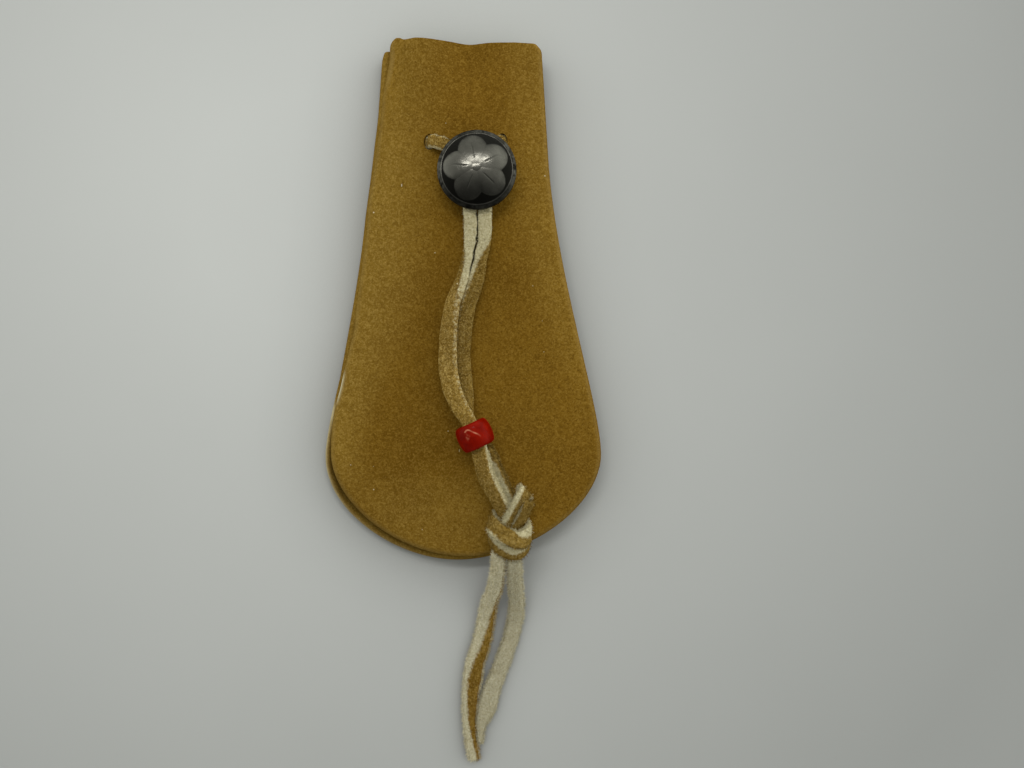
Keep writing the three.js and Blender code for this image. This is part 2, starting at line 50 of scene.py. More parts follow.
# Bell-shaped panels
PANEL_LENGTH = 128.9
MOUTH_WIDTH = 38.0
NECK_WIDTH = 41.4
NECK_LENGTH = 28.0
BODY_WIDTH = 68.1
WIDEST_HEIGHT = 25.7
FLANK_PULL = 29.2
HIP_PULL = 12.0
SIDE_PULL = 12.0
BOTTOM_PULL = 17.7
MOUTH_CORNER = 2.2
MOUTH_PINCH = 1.1
BACK_MOUTH_PINCH = 0.3
LEATHER = 1.5
FOLD_RADIUS = 1.9
SEAM_ALLOWANCE = 3.6
SEAM_HEIGHT = 3.95
EDGE_HEIGHT = 2 * SEAM_HEIGHT
LEAN_X = 2.4
LEAN_Y = 2.1
BACK_MOUTH_RISE = 0.9
BACK_MOUTH_START = 112.0
FLANK_BULGE = 3.2
BACK_FLANK_BULGE = 1.4
FLANK_LOW = 26.0
FLANK_FULL = 88.0
FLANK_HIGH = 116.0
FLANK_INNER = 9.0
FLANK_OUTER = 6.0
NECK_CROWN = 1.8
BELLY_CROWN = 1.1
CROWN_BLEND = (45.0, 95.0)
CROWN_POWER = 2.5
BOTTOM_SWELL = 32.0
MOUTH_FADE = 22.0
FOLD_EDGE_FADE = 0.55
MOUTH_FOLD_PLACES = np.array((-12.0, -18.0, 1.0, 10.0, 17.0))
MOUTH_FOLD_SPREADS = np.array((6.5, 3.0, 4.0, 5.0, 3.0))
MOUTH_FOLD_RISES = np.array((2.2, 0.0, -0.7, 0.4, 0.0))
FRONT_MOUTH_CUTS = np.array((0.1, 1.25, -0.4, -0.3, -0.3))
BACK_MOUTH_CUTS = np.array((0.0, 0.0, -0.4, -0.3, -0.3))
PANEL_COLUMNS = 84
ROLL_STEPS = 12
FLANGE_STEPS = 4
GROOVE_FILL = 1.2
ROW_STEP = 0.8
CORNER_STEP = 0.3
# Unevenness of the hide: height, size of its bumps and seed
HIDE_RIPPLES = ((0.13, 15.0, 11), (0.06, 6.0, 12), (0.03, 2.4, 13))
CREASE_DEPTH = 0.2

# Lace
LACE_WIDTH = 3.8
LACE_THICKNESS = 1.75
LACE_SIDES = 36
LACE_STEP = 0.45
LACE_SQUARENESS = 3.4
LACE_END = 0.5
LACE_SWAY = 0.13
LACE_ROUGH = ((0.06, 0.8), (0.07, 2.4))
NAP_BLEND = 26.0
TABLE_GAP = 0.02
FIBRE_WIDTH = 0.085
FIBRE_LENGTHS = (0.25, 0.85)
FIBRES_PER_MM = 75
EDGE_FIBRES = 1.5
BARE_HEIGHT = 71.0
SLIT_HEIGHT = 103.6
BACK_SLIT_SPREAD = 10.55
CHANNEL_DEPTH = 2.15
CHANNEL_FLAT = 2.45
CHANNEL_RAMP = 3.0
# Slits: name, place across, shift from SLIT_HEIGHT and half length
SLIT_SIDES = 40
FRONT_SLITS = (("slit_left", -8.9, -0.25, 1.75), ("slit_right", 9.2, -0.1, 1.9))
BACK_SLITS = (
    ("back_slit_left", -BACK_SLIT_SPREAD, 0.0, 2.4), ("back_slit_right", BACK_SLIT_SPREAD, 0.0, 2.4))
# Heights and half widths of the slits' holes, opening a little towards the outside
FRONT_SLIT_LEVELS = ((6.0, 1.2), (9.0, 1.25), (9.45, 1.35), (9.75, 1.65), (10.4, 2.3))
BACK_SLIT_LEVELS = ((-1.0, 1.6), (1.9, 1.4), (5.0, 1.4))

# Turned metal and bead
BUTTON_RINGS = 96
BUTTON_SPOKES = 288
RELIEF = 0.22
BUTTON_PETALS = 5
PETAL_TURN = math.radians(102.0)
BUTTON_DROOP = 0.65
BUTTON_TRIM = 0.4
BUTTON_WALL = 1.4
BUTTON_DOME = 2.8
BUTTON_BEVEL = 0.35
BUTTON_LIP = 0.9
# Painted glints of reflected light on the button's face: strength, place across and up, and spread, as
# shares of its radius
BUTTON_PAINTED_GLINTS = ((0.7, -0.7, 0.05, 0.12), (0.4, 0.7, 0.0, 0.1))
SHANK_BEND = 1.4
SHANK_SIDES = 20
BEAD_DIAMETER = 8.8
BEAD_LENGTH = 6.3
BEAD_BORE = 5.37
BEAD_TURN = 24.4
BEAD_SIDES = 220
BEAD_ROWS = 65
BEAD_LIP = 0.35
BEAD_SEAM = 0.035
BEAD_SEAM_TURN = 75.0
# Painted highlight on the bead: places across and along its streak, and a highlight spot
BEAD_HIGHLIGHT_LINE = ((-1.6, 1.75), (-1.0, 2.0), (-0.45, 1.8), (0.2, 1.0), (1.15, 0.0), (1.55, -0.85))
BEAD_HIGHLIGHT_SPOT = (-1.5, 0.5)

# Camera: straight down over the table
CAMERA_PLACE = (12.8, -20.0, 201.0)
CAMERA_VIEW_DEGREES = 67.0

# Colours, in linear light
HIDE_DARK = (0.098, 0.046, 0.0036)
HIDE_TAN = (0.165, 0.085, 0.0076)
HIDE_PALE = (0.26, 0.15, 0.024)
HIDE_SPECK = (0.5, 0.42, 0.22)
# Tint of the paler edges: rubbed wear and painted light
HIDE_RUB_AND_LIGHT_TINT = (1.55, 1.78, 2.8)
# Tone of rubbed edges, also used for a painted highlight streak below the mouth
HIDE_RUB_AND_HIGHLIGHT = (0.27, 0.18, 0.055)
HIDE_RIM = (0.52, 0.44, 0.25)
# Painted shade for the seam crease between the panels and for the slits' walls
HIDE_CREASE_SHADE = (0.022, 0.011, 0.0015)
FLESH_DARK = (0.35, 0.295, 0.15)
FLESH_PALE = (0.6, 0.545, 0.355)
TAIL_FLESH_DARK = (0.36, 0.315, 0.185)
TAIL_FLESH_PALE = (0.6, 0.555, 0.405)
FLESH_STAIN = (0.3, 0.24, 0.12)
LACE_TONES = ((0.105, 0.058, 0.0095), (0.2, 0.121, 0.022), (0.37, 0.262, 0.085))
TAIL_TONES = ((0.105, 0.053, 0.006), (0.2, 0.113, 0.015), (0.38, 0.255, 0.07))
NICKEL_DARK = (0.009, 0.0086, 0.007)
NICKEL_WORN = (0.118, 0.113, 0.095)
WIRE_DARK = (0.12, 0.11, 0.095)
WIRE_BRIGHT = (0.36, 0.34, 0.3)
BEAD_DARK = (0.145, 0.0032, 0.0004)
BEAD_BRIGHT = (0.225, 0.006, 0.0008)
# Pale colour of the bead's scuffs and of its painted highlight
BEAD_SCUFF_AND_HIGHLIGHT = (0.58, 0.23, 0.13)
THREAD_DARK = (0.3, 0.21, 0.075)
THREAD_PALE = (0.5, 0.38, 0.17)
FLOOR_PALE = (0.54, 0.5443, 0.5247)
ROOM_TINT = (0.97, 1.0, 0.96, 1.0)
DULL = {"Roughness": 1.0, "Specular IOR Level": 0.02}

# Table, in metres: its half size, the place of its painted pool of light, how that painted light falls off,
# and its painted contact shadow under the pouch's edges
FLOOR_HALF = 1.5
FLOOR_LIGHT_POOL_PLACE = (-0.04, 0.025, 0.0)
FLOOR_LIGHT_FALLOFF_REACH = (0.03, 0.21)
FLOOR_LIGHT_FALLOFF = 0.63
CONTACT_SHADOW_REACH = 0.022
CONTACT_SHADOW_SIDES = (-0.03, 0.03)
CONTACT_SHADOW_DEPTHS = (0.45, 0.28)

# Strip lamp above the mouth, in metres and watts
LAMP_PLACE = (-0.04, 0.29, 0.55)
LAMP_SIZE = (0.45, 0.05)
LAMP_POWER = 1.25

FRAME_SHIFT = np.array((LEAN_X / 2, (LEAN_Y - PANEL_LENGTH) / 2, 0.0))
UP = np.array((0.0, 0.0, 1.0))


def smooth(low, high, value):
    share = np.clip((value - low) / (high - low), 0.0, 1.0)
    return share * share * (3.0 - 2.0 * share)


def unit(vectors):
    return vectors / np.maximum(np.linalg.norm(vectors, axis=-1, keepdims=True), 1e-9)


def bell(value, middle, width):
    return np.exp(-(((value - middle) / width) ** 2))


def ring_angles(count):
    return 2 * np.pi * np.arange(count) / count


# Angle between two directions, in degrees
def turn_apart(first, second):
    return np.abs((first - second + 180.0) % 360.0 - 180.0)


def to_metres(points):
    return (np.asarray(points, float) + FRAME_SHIFT) * MM


# Corners of a node's box, in millimetres
def node_box(name):
    return (np.array(corner) / MM - FRAME_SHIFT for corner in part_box(name))


# Distance of each point along a path
def path_reach(points):
    return np.concatenate(((0.0,), np.cumsum(np.linalg.norm(np.diff(points, axis=0), axis=1))))


# Directions across and up from a path, square to its run
def path_frame(points, sides):
    run = unit(np.gradient(points, axis=0))
    sides = unit(sides - run * np.sum(sides * run, axis=1, keepdims=True))
    return sides, np.cross(run, sides)


def table_values(places, table):
    if np.isscalar(table):
        return np.full(np.shape(places), float(table))
    table = np.asarray(sorted(table), float)
    return np.interp(places, table[:, 0], table[:, 1])


def new_object(name, data):
    made = bpy.data.objects.new(name, data)
    bpy.context.scene.collection.objects.link(made)
    return made


def new_mesh(name, points, faces, materials):
    mesh = bpy.data.meshes.new(name)
    mesh.from_pydata(points, [], faces)
    for material in materials:
        mesh.materials.append(material)
    return mesh


# One steady random number from -1 to 1 for each whole-numbered cell
def cell_values(cells, seed):
    mixed = cells @ np.array((127.1, 311.7, 74.7)) + seed * 17.3
    return 2.0 * np.modf(np.abs(np.sin(mixed) * 43758.5453))[0] - 1.0


# Smooth random field from -1 to 1, with bumps of this size
def soft_noise(points, cell, seed):
    place = np.asarray(points, float).reshape(-1, 3) / cell
    base = np.floor(place)
    share = place - base
    share = share * share * (3.0 - 2.0 * share)
    total = np.zeros(len(place))
    for corner in product((0, 1), repeat=3):
        weight = np.prod(np.where(corner, share, 1.0 - share), axis=1)
        total += weight * cell_values(base + corner, seed)
    return total


def make_camera():
    data = bpy.data.cameras.new("camera")
    data.sensor_width = 36.0
    data.lens = data.sensor_width / 2 / math.tan(math.radians(CAMERA_VIEW_DEGREES / 2))
    data.clip_start = 0.01
    camera = new_object("camera", data)
    camera.location = Vector(CAMERA_PLACE) * MM
    bpy.context.scene.camera = camera


# Materials
def put(tree, socket, value):
    if isinstance(value, bpy.types.NodeSocket):
        tree.links.new(value, socket)
    else:
        socket.default_value = value


def node(tree, kind, sockets=None, **settings):
    made = tree.nodes.new("ShaderNode" + kind)
    for key, value in settings.items():
        setattr(made, key, value)
    for key, value in (sockets or {}).items():
        put(tree, made.inputs[key], value)
    return made


def mix(tree, share, first, second, blend="MIX"):
    made = tree.nodes.new("ShaderNodeMix")
    made.data_type = "RGBA"
    made.blend_type = blend
    put(tree, made.inputs[0], share)
    for socket, value in ((made.inputs[6], first), (made.inputs[7], second)):
        put(tree, socket, (*value, 1.0) if isinstance(value, tuple) else value)
    return made.outputs[2]


def noise(tree, place, scale, detail=2.0, roughness=0.5):
    sockets = {"Vector": place, "Scale": scale, "Detail": detail, "Roughness": roughness}
    return node(tree, "TexNoise", sockets).outputs["Fac"]


def remap(tree, value, low, high, to_low=0.0, to_high=1.0):
    sockets = {"Value": value, "From Min": low, "From Max": high, "To Min": to_low, "To Max": to_high}
    return node(tree, "MapRange", sockets).outputs["Result"]


def math_node(tree, operation, first, second):
    made = node(tree, "Math", operation=operation)
    put(tree, made.inputs[0], first)
    put(tree, made.inputs[1], second)
    return made.outputs[0]


def times(tree, first, second):
    return math_node(tree, "MULTIPLY", first, second)


def field(tree, name):
    return node(tree, "Attribute", attribute_name=name).outputs["Fac"]


def bump(tree, height, distance, strength=1.0, normal=None):
    sockets = {"Height": height, "Distance": distance, "Strength": strength}
    if normal is not None:
        sockets["Normal"] = normal
    return node(tree, "Bump", sockets).outputs["Normal"]


def stretched(tree, place, scale, turn):
    sockets = {"Vector": place, "Scale": scale, "Rotation": (0.0, 0.0, math.radians(turn))}
    return node(tree, "Mapping", sockets).outputs["Vector"]


# Material from a paint function, which makes nodes and returns what goes into the shader's sockets
def make_material(name, paint, *tones):
    material = bpy.data.materials.new(name)
    material.use_nodes = True
    tree = material.node_tree
    for key, value in paint(tree, node(tree, "TexCoord").outputs["Object"], *tones).items():
        put(tree, tree.nodes["Principled BSDF"].inputs[key], value)
    return material


# Small pale fibres and specks, scattered in cells of this many to the metre
def speck_share(tree, place, scale, size, kept):
    cells = node(tree, "TexVoronoi", {"Vector": place, "Scale": scale})
    near = remap(tree, cells.outputs["Distance"], size, size * 0.6)
    chance = node(tree, "SeparateColor", {"Color": cells.outputs["Color"]}).outputs["Red"]
    return times(tree, near, math_node(tree, "GREATER_THAN", chance, 1.0 - kept))


# Short soft nap: faint broad patches, fine grain, dark pores and a few pale loose fibres
def nap_colour(tree, place, tones, speck, crisp):
    dark, middle, pale = tones
    patches = noise(tree, place, 48.0, 4.0, 0.6)
    grain = noise(tree, place, 2300.0, 4.0, 0.7)
    sockets = {"Vector": place, "Scale": 1150.0, "Detail": 3.0, "Distortion": 1.2}
    curls = node(tree, "TexNoise", sockets).outputs["Fac"]
    pores = noise(tree, place, 1700.0, 2.0, 0.6)
    colour = mix(tree, remap(tree, patches, 0.25, 0.75, 0.2, 1.0), dark, middle)
    layers = (
        (grain, 0.48, 0.72, 0.8, pale), (curls, 0.5, 0.72, 0.42, pale),
        (curls, 0.48, 0.3, 0.62, dark), (pores, 0.57, 0.68, 0.75, dark))
    for pattern, low, high, strength, tone in layers:
        colour = mix(tree, remap(tree, pattern, low, high, 0.0, strength * crisp), colour, tone)
    dots = speck_share(tree, place, 330.0, 0.065, 0.2)
    lane = stretched(tree, place, (1.0, 0.3, 1.0), 40.0)
    dashes = speck_share(tree, lane, 420.0, 0.055, 0.16)
    specks = times(tree, math_node(tree, "MAXIMUM", dots, dashes), 0.75)
    return mix(tree, specks, colour, speck), grain


def hide_paint(tree, place):
    colour, grain = nap_colour(tree, place, (HIDE_DARK, HIDE_TAN, HIDE_PALE), HIDE_SPECK, 1.0)
    # pale: paler rubbed edges, with painted light on the flanks
    colour = mix(tree, field(tree, "pale"), colour, mix(tree, 1.0, colour, HIDE_RUB_AND_LIGHT_TINT, "MULTIPLY"))
    # Rubbed edges of the hide, and a painted highlight streak on the left edge below the mouth
    rub_and_highlight_share = times(tree, field(tree, "rub_and_highlight"), remap(tree, grain, 0.3, 0.7, 0.45, 1.0))
    colour = mix(tree, rub_and_highlight_share, colour, HIDE_RUB_AND_HIGHLIGHT)
    # raw and rim are pale edges of the hide; crease_shade is painted shade in the seam
    for name, tone in (("raw", FLESH_PALE), ("rim", HIDE_RIM), ("crease_shade", HIDE_CREASE_SHADE)):
        colour = mix(tree, field(tree, name), colour, tone)
    fuzz = noise(tree, place, 3200.0, 3.0, 0.7)
    weave = noise(tree, place, 950.0, 3.0, 0.6)
    normal = bump(tree, fuzz, 0.00012, 0.8, bump(tree, weave, 0.0002, 0.6))
    return {"Base Color": colour, "Normal": normal, **DULL}


def flesh_colour(tree, place, dark=FLESH_DARK, pale=FLESH_PALE):
    grain = noise(tree, place, 2100.0, 4.0, 0.65)
    colour = mix(tree, remap(tree, grain, 0.31, 0.69), dark, pale)
    stains = remap(tree, noise(tree, place, 240.0, 3.0), 0.55, 0.8, 0.0, 0.35)
    return mix(tree, stains, colour, FLESH_STAIN)


def flesh_paint(tree, place):
    colour = flesh_colour(tree, place)
    normal = bump(tree, noise(tree, place, 1900.0, 4.0, 0.7), 0.0002, 0.8)
    return {"Base Color": colour, "Normal": normal, **DULL}


# Cut walls of the slits, painted dark as shade inside the holes
def slit_shade_paint(tree, place):
    grain = noise(tree, place, 1800.0, 3.0, 0.6)
    colour = mix(tree, remap(tree, grain, 0.35, 0.65), HIDE_CREASE_SHADE, HIDE_DARK)
    return {"Base Color": colour, "Normal": bump(tree, grain, 0.0002, 0.8), **DULL}


# Lace: tan nap on one face, cream flesh side and cut edges, with a ragged border between them
def lace_paint(tree, place, nap_tones, flesh_dark, flesh_pale):
    nap, grain = nap_colour(tree, place, nap_tones, FLESH_PALE, 1.2)
    ragged = remap(tree, noise(tree, place, 1500.0, 4.0, 0.75), 0.25, 0.75, -0.38, 0.38)
    share = math_node(tree, "ADD", field(tree, "nap"), ragged)
    flesh = flesh_colour(tree, place, flesh_dark, flesh_pale)
    colour = mix(tree, remap(tree, share, 0.25, 0.75), flesh, nap)
    # The shade field is painted light and shade: strand brightness, the dark gap between strands and
    # brighter fibres
    colour = mix(tree, 1.0, colour, field(tree, "shade"), "MULTIPLY")
    fuzz = noise(tree, place, 2400.0, 4.0, 0.75)
    normal = bump(tree, fuzz, 0.0002, 1.0, bump(tree, grain, 0.00015, 0.7))
    return {"Base Color": colour, "Normal": normal, **DULL}


# Darkened nickel, worn bright on its high spots
def nickel_paint(tree, place):
    cloud = noise(tree, place, 330.0, 5.0, 0.65)
    worn = math_node(tree, "ADD", field(tree, "relief"), remap(tree, cloud, 0.3, 0.7, -0.18, 0.18))
    # Worn brightness times polish, a painted reflection of the room
    bright = times(tree, remap(tree, worn, 0.1, 0.85), field(tree, "polish"))
    scratch = noise(tree, stretched(tree, place, (1.0, 0.12, 1.0), 35.0), 2400.0, 2.0)
    dents = noise(tree, place, 800.0, 3.0)
    return {
        "Base Color": mix(tree, bright, NICKEL_DARK, NICKEL_WORN), "Metallic": 1.0,
        "Roughness": remap(tree, worn, 0.2, 0.85, 0.38, 0.21),
        "Normal": bump(tree, scratch, 0.00002, 0.3, bump(tree, dents, 0.00009, 0.4))}


def wire_paint(tree, place):
    cloud = noise(tree, place, 900.0, 3.0)
    return {
        "Base Color": mix(tree, remap(tree, cloud, 0.35, 0.7), WIRE_DARK, WIRE_BRIGHT), "Metallic": 1.0,
        "Roughness": remap(tree, cloud, 0.3, 0.7, 0.28, 0.5)}


def bead_paint(tree, place):
    cloud = noise(tree, place, 420.0, 3.0)
    colour = mix(tree, remap(tree, cloud, 0.35, 0.7), BEAD_DARK, BEAD_BRIGHT)
    lane = stretched(tree, place, (0.22, 1.0, 1.0), -14.0)
    # Scattered scuffs, joined with the painted highlight streak and spot
    scuff_and_highlight = times(tree, speck_share(tree, lane, 700.0, 0.16, 0.3), 0.3)
    scuff_and_highlight = math_node(tree, "MAXIMUM", scuff_and_highlight, field(tree, "scuff_and_highlight"))
    return {
        "Base Color": mix(tree, scuff_and_highlight, colour, BEAD_SCUFF_AND_HIGHLIGHT),
        "Roughness": remap(tree, cloud, 0.3, 0.7, 0.25, 0.4),
        "Specular IOR Level": 0.02, "Coat Weight": 0.03, "Coat Roughness": 0.05,
        "Normal": bump(tree, noise(tree, place, 700.0, 2.0), 0.00003, 0.4)}


def thread_paint(tree, place):
    twist = node(tree, "TexWave", {"Vector": place, "Scale": 900.0, "Distortion": 1.5}).outputs["Fac"]
    colour = mix(tree, remap(tree, twist, 0.2, 0.8), THREAD_DARK, THREAD_PALE)
    return {"Base Color": colour, "Roughness": 0.8, "Normal": bump(tree, twist, 0.0001, 0.7)}


# Table with painted light: dimmer away from a painted pool of light beside the neck, and darker in painted
# contact shadow under the pouch's edges
def floor_paint(tree, place):
    cloud = remap(tree, noise(tree, place, 9.0, 4.0), 0.35, 0.65, 0.985, 1.015)
    away = node(tree, "VectorMath", operation="DISTANCE")
    put(tree, away.inputs[0], place)
    away.inputs[1].default_value = FLOOR_LIGHT_POOL_PLACE
    # Painted light: the table dims away from the painted pool of light
    shade = times(tree, cloud, remap(tree, away.outputs["Value"], *FLOOR_LIGHT_FALLOFF_REACH, 1.0, FLOOR_LIGHT_FALLOFF))
    # Painted contact shadow under the pouch's edges, deeper on the left
    near = node(tree, "AmbientOcclusion", {"Distance": CONTACT_SHADOW_REACH}, samples=8).outputs["AO"]
    side = node(tree, "SeparateXYZ", {"Vector": place}).outputs["X"]
    depth = remap(tree, side, *CONTACT_SHADOW_SIDES, *CONTACT_SHADOW_DEPTHS)
    corner = times(tree, remap(tree, near, 0.45, 0.98, 1.0, 0.0), depth)
    shade = times(tree, shade, math_node(tree, "SUBTRACT", 1.0, corner))
    colour = mix(tree, 1.0, FLOOR_PALE, shade, "MULTIPLY")
    return {"Base Color": colour, "Roughness": 0.8, "Specular IOR Level": 0.1}


# Pieces
def add_piece(name, points, faces, body, materials, replaced=(), face_slots=None, fields=None):
    mesh = new_mesh(name, to_metres(points).tolist(), faces, materials)
    if face_slots is not None:
        mesh.polygons.foreach_set("material_index", face_slots)
    for key, values in (fields or {}).items():
        mesh.attributes.new(key, "FLOAT", "POINT").data.foreach_set("value", np.asarray(values, np.float32))
    mesh.polygons.foreach_set("use_smooth", [True] * len(mesh.polygons))
    mesh.update()
    piece = new_object(name, mesh)
    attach(piece, body)
    if replaced:
        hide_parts(*replaced)
    return piece


def add_lace(name, points, faces, lace_hide, replaced, fields):
    return add_piece(name, points, faces, "pouch", (lace_hide,), (replaced,), fields=fields)


def grid_faces(rows, columns, start=0, wrap=False, flip=False):
    faces = []
    for i in range(rows - 1):
        for j in range(columns if wrap else columns - 1):
            k = (j + 1) % columns
            a, b = start + i * columns + j, start + i * columns + k
            c, d = start + (i + 1) * columns + k, start + (i + 1) * columns + j
            faces.append((a, d, c, b) if flip else (a, b, c, d))
    return faces


# Faces of a closed tube of rings, with its two end caps
def tube_faces(rows, columns, flip=False):
    faces = grid_faces(rows, columns, wrap=True, flip=flip)
    first, last = tuple(range(columns)), tuple(range((rows - 1) * columns, rows * columns))
    return faces + ([first, last[::-1]] if flip else [first[::-1], last])


# Points of a smooth curve through the stations, evenly spaced
def smooth_route(stations, step):
    stations = np.asarray(stations, float)
    padded = np.vstack((2 * stations[0] - stations[1], stations, 2 * stations[-1] - stations[-2]))
    dense = []
    for p0, p1, p2, p3 in zip(padded, padded[1:], padded[2:], padded[3:]):
        gaps = (np.linalg.norm((q - p)[:3]) for p, q in ((p0, p1), (p1, p2), (p2, p3)))
        d0, d1, d2 = (max(gap, 1e-4) ** 0.5 for gap in gaps)
        t1 = ((p1 - p0) / d0 - (p2 - p0) / (d0 + d1) + (p2 - p1) / d1) * d1
        t2 = ((p2 - p1) / d1 - (p3 - p1) / (d1 + d2) + (p3 - p2) / d2) * d1
        s = np.linspace(0.0, 1.0, 24, endpoint=False)[:, None]
        square = 3 * (p2 - p1) - 2 * t1 - t2
        cube = 2 * (p1 - p2) + t1 + t2
        dense.append(p1 + t1 * s + square * s ** 2 + cube * s ** 3)
    dense = np.vstack((*dense, stations[-1:]))
    reach = path_reach(dense[:, :3])
    even = np.linspace(0.0, reach[-1], max(int(round(reach[-1] / step)), 4) + 1)
    return np.stack([np.interp(even, reach, dense[:, k]) for k in range(dense.shape[1])], axis=1)


# Level side directions of a lace, turned by the roll of each point
def rolled_sides(points, rolls):
    run = unit(np.gradient(points, axis=0))
    level = unit(np.cross(UP, run))
    turn = np.radians(rolls)[:, None]
    return level * np.cos(turn) + np.cross(run, level) * np.sin(turn)


# Loose fibres standing out of a strip's skin, each a thin pointed sliver
def fibre_slivers(skin, outward, nap, weight, count, seed, start, reach):
    chance = np.random.default_rng(seed)
    roots = chance.choice(len(skin), count, p=weight / weight.sum())
    length = chance.uniform(*FIBRE_LENGTHS, (count, 1)) * reach
    lean = unit(chance.normal(size=(count, 3)) * 0.55 + outward[roots])
    bend = unit(lean + 0.6 * chance.normal(size=(count, 3)))
    flat = unit(np.cross(lean, UP + 0.4 * chance.normal(size=(count, 3)))) * FIBRE_WIDTH / 2
    base = skin[roots] - 0.1 * outward[roots]
    middle = base + lean * length * 0.55
    tip = middle + bend * length * 0.45
    points = np.stack((base - flat, base + flat, middle + flat * 0.8, middle - flat * 0.8, tip), axis=1)
    faces = []
    for k in range(start, start + 5 * count, 5):
        faces += [(k, k + 1, k + 2, k + 3), (k + 3, k + 2, k + 4)]
    return points.reshape(-1, 3), faces, np.repeat(nap[roots], 5)


# One strip of hide: its size, the half turn its nap covers, the least share of nap, and its fuzz.
# bare is the side with painted shade and no fibres above BARE_HEIGHT: 1 right, -1 left, 0 neither
@dataclass
class Strip:
    seed: int
    width: object = LACE_WIDTH
    thickness: float = LACE_THICKNESS
    nap_limit: object = 52.0
    least_nap: object = 0.0
    side_nap: object = 0.0
    fuzz: float = 1.0
    fibre_nap: float = 1.0
    fibre_tilt: float = -0.4
    fibre_painted_light: float = 1.0
    bare: int = 0


# Ring of a lace strip: the turn of each point, and how far across and up it lies in a squarish shape
def squarish_ring():
    angle = ring_angles(LACE_SIDES)
    lobe = np.abs(np.cos(angle)) ** LACE_SQUARENESS + np.abs(np.sin(angle)) ** LACE_SQUARENESS
    size = lobe ** (1 / LACE_SQUARENESS)
    return angle, np.sin(angle) / size, np.cos(angle) / size


RING_TURN, RING_ACROSS, RING_UP = squarish_ring()


# Points of a strip's skin, ring by ring, and the way out of it
def strip_skin(points, sides, ups, taper, strip):
    wide = (np.broadcast_to(strip.width, len(points)) / 2 * taper)[:, None, None] * RING_ACROSS[:, None]
    thick = (strip.thickness / 2 * taper)[:, None, None] * RING_UP[:, None]
    sides, ups = sides[:, None, :], ups[:, None, :]
    skin = (points[:, None, :] + wide * sides + thick * ups).reshape(-1, 3)
    outward = unit(RING_ACROSS[:, None] ** 5 * sides + RING_UP[:, None] ** 5 * ups).reshape(-1, 3)
    rough = sum(size * soft_noise(skin, cell, strip.seed + k) for k, (size, cell) in enumerate(LACE_ROUGH))
    return skin + outward * strip.fuzz * rough[:, None], outward


# Share of nap colour on a strip's skin. nap_turns says which way its nap faces, 0 being up
def nap_share(nap_turns, strip):
    limit, least, side = (
        np.broadcast_to(values, len(nap_turns))[:, None]
        for values in (strip.nap_limit, strip.least_nap, strip.side_nap))
    spread = turn_apart(np.degrees(RING_TURN), np.asarray(nap_turns, float)[:, None])
    nap = np.maximum(1.0 - smooth(-NAP_BLEND, NAP_BLEND, spread - limit), least)
    upright = smooth(62.0, 88.0, np.degrees(np.arccos(np.cos(RING_TURN))))
    return np.maximum(nap, side * upright).ravel()


# Painted shade on a strip's skin: dark on the side that faces the other strand, above BARE_HEIGHT, for the
# shadow in the gap between them
def painted_gap_shade(points, strip):
    turn = turn_apart(np.degrees(RING_TURN), 90.0 * strip.bare)
    rugged = 20.0 * soft_noise(points, 1.1, strip.seed + 5)[:, None]
    inner = (1.0 - smooth(28.0, 46.0, turn + rugged)) * abs(strip.bare)
    return (1.0 - 0.96 * inner * smooth(BARE_HEIGHT - 3.0, BARE_HEIGHT + 2.0, points[:, 1:2])).ravel()


# Closed strip of soft hide along a route, with its loose fibres
def strip_mesh(points, sides, nap_turns, strip):
    sides, ups = path_frame(points, sides)
    reach = path_reach(points)
    ends = np.clip(np.minimum(reach, reach[-1] - reach) / LACE_END, 0.12, 1.0)
    taper = np.sqrt(1 - (1 - ends) ** 2)
    points = points + sides * LACE_SWAY * soft_noise(points, 3.2, strip.seed + 2)[:, None]
    skin, outward = strip_skin(points, sides, ups, taper, strip)
    nap = nap_share(nap_turns, strip)
    # Painted shade in the gap between the strands, where no fibres grow
    dark = painted_gap_shade(points, strip)
    edges = np.tile(1.0 + EDGE_FIBRES * (np.abs(RING_ACROSS) > 0.9), len(points))
    weight = (outward[:, 2] > strip.fibre_tilt) * edges * (dark > 0.99)
    amount = int(FIBRES_PER_MM * strip.fuzz * reach[-1])
    root_nap = nap * np.where(outward[:, 2] > 0.6, 1.0, strip.fibre_nap)
    hairs, hair_faces, hair_nap = fibre_slivers(
        skin, outward, root_nap, weight, amount, strip.seed, len(skin), strip.fuzz)
    # Painted light on the fibres, brighter on the tails
    dark = np.concatenate((dark, np.full(len(hairs), strip.fibre_painted_light)))
    faces = tube_faces(len(points), LACE_SIDES, flip=True) + hair_faces
    return np.vstack((skin, hairs)), faces, np.concatenate((nap, hair_nap)), dark


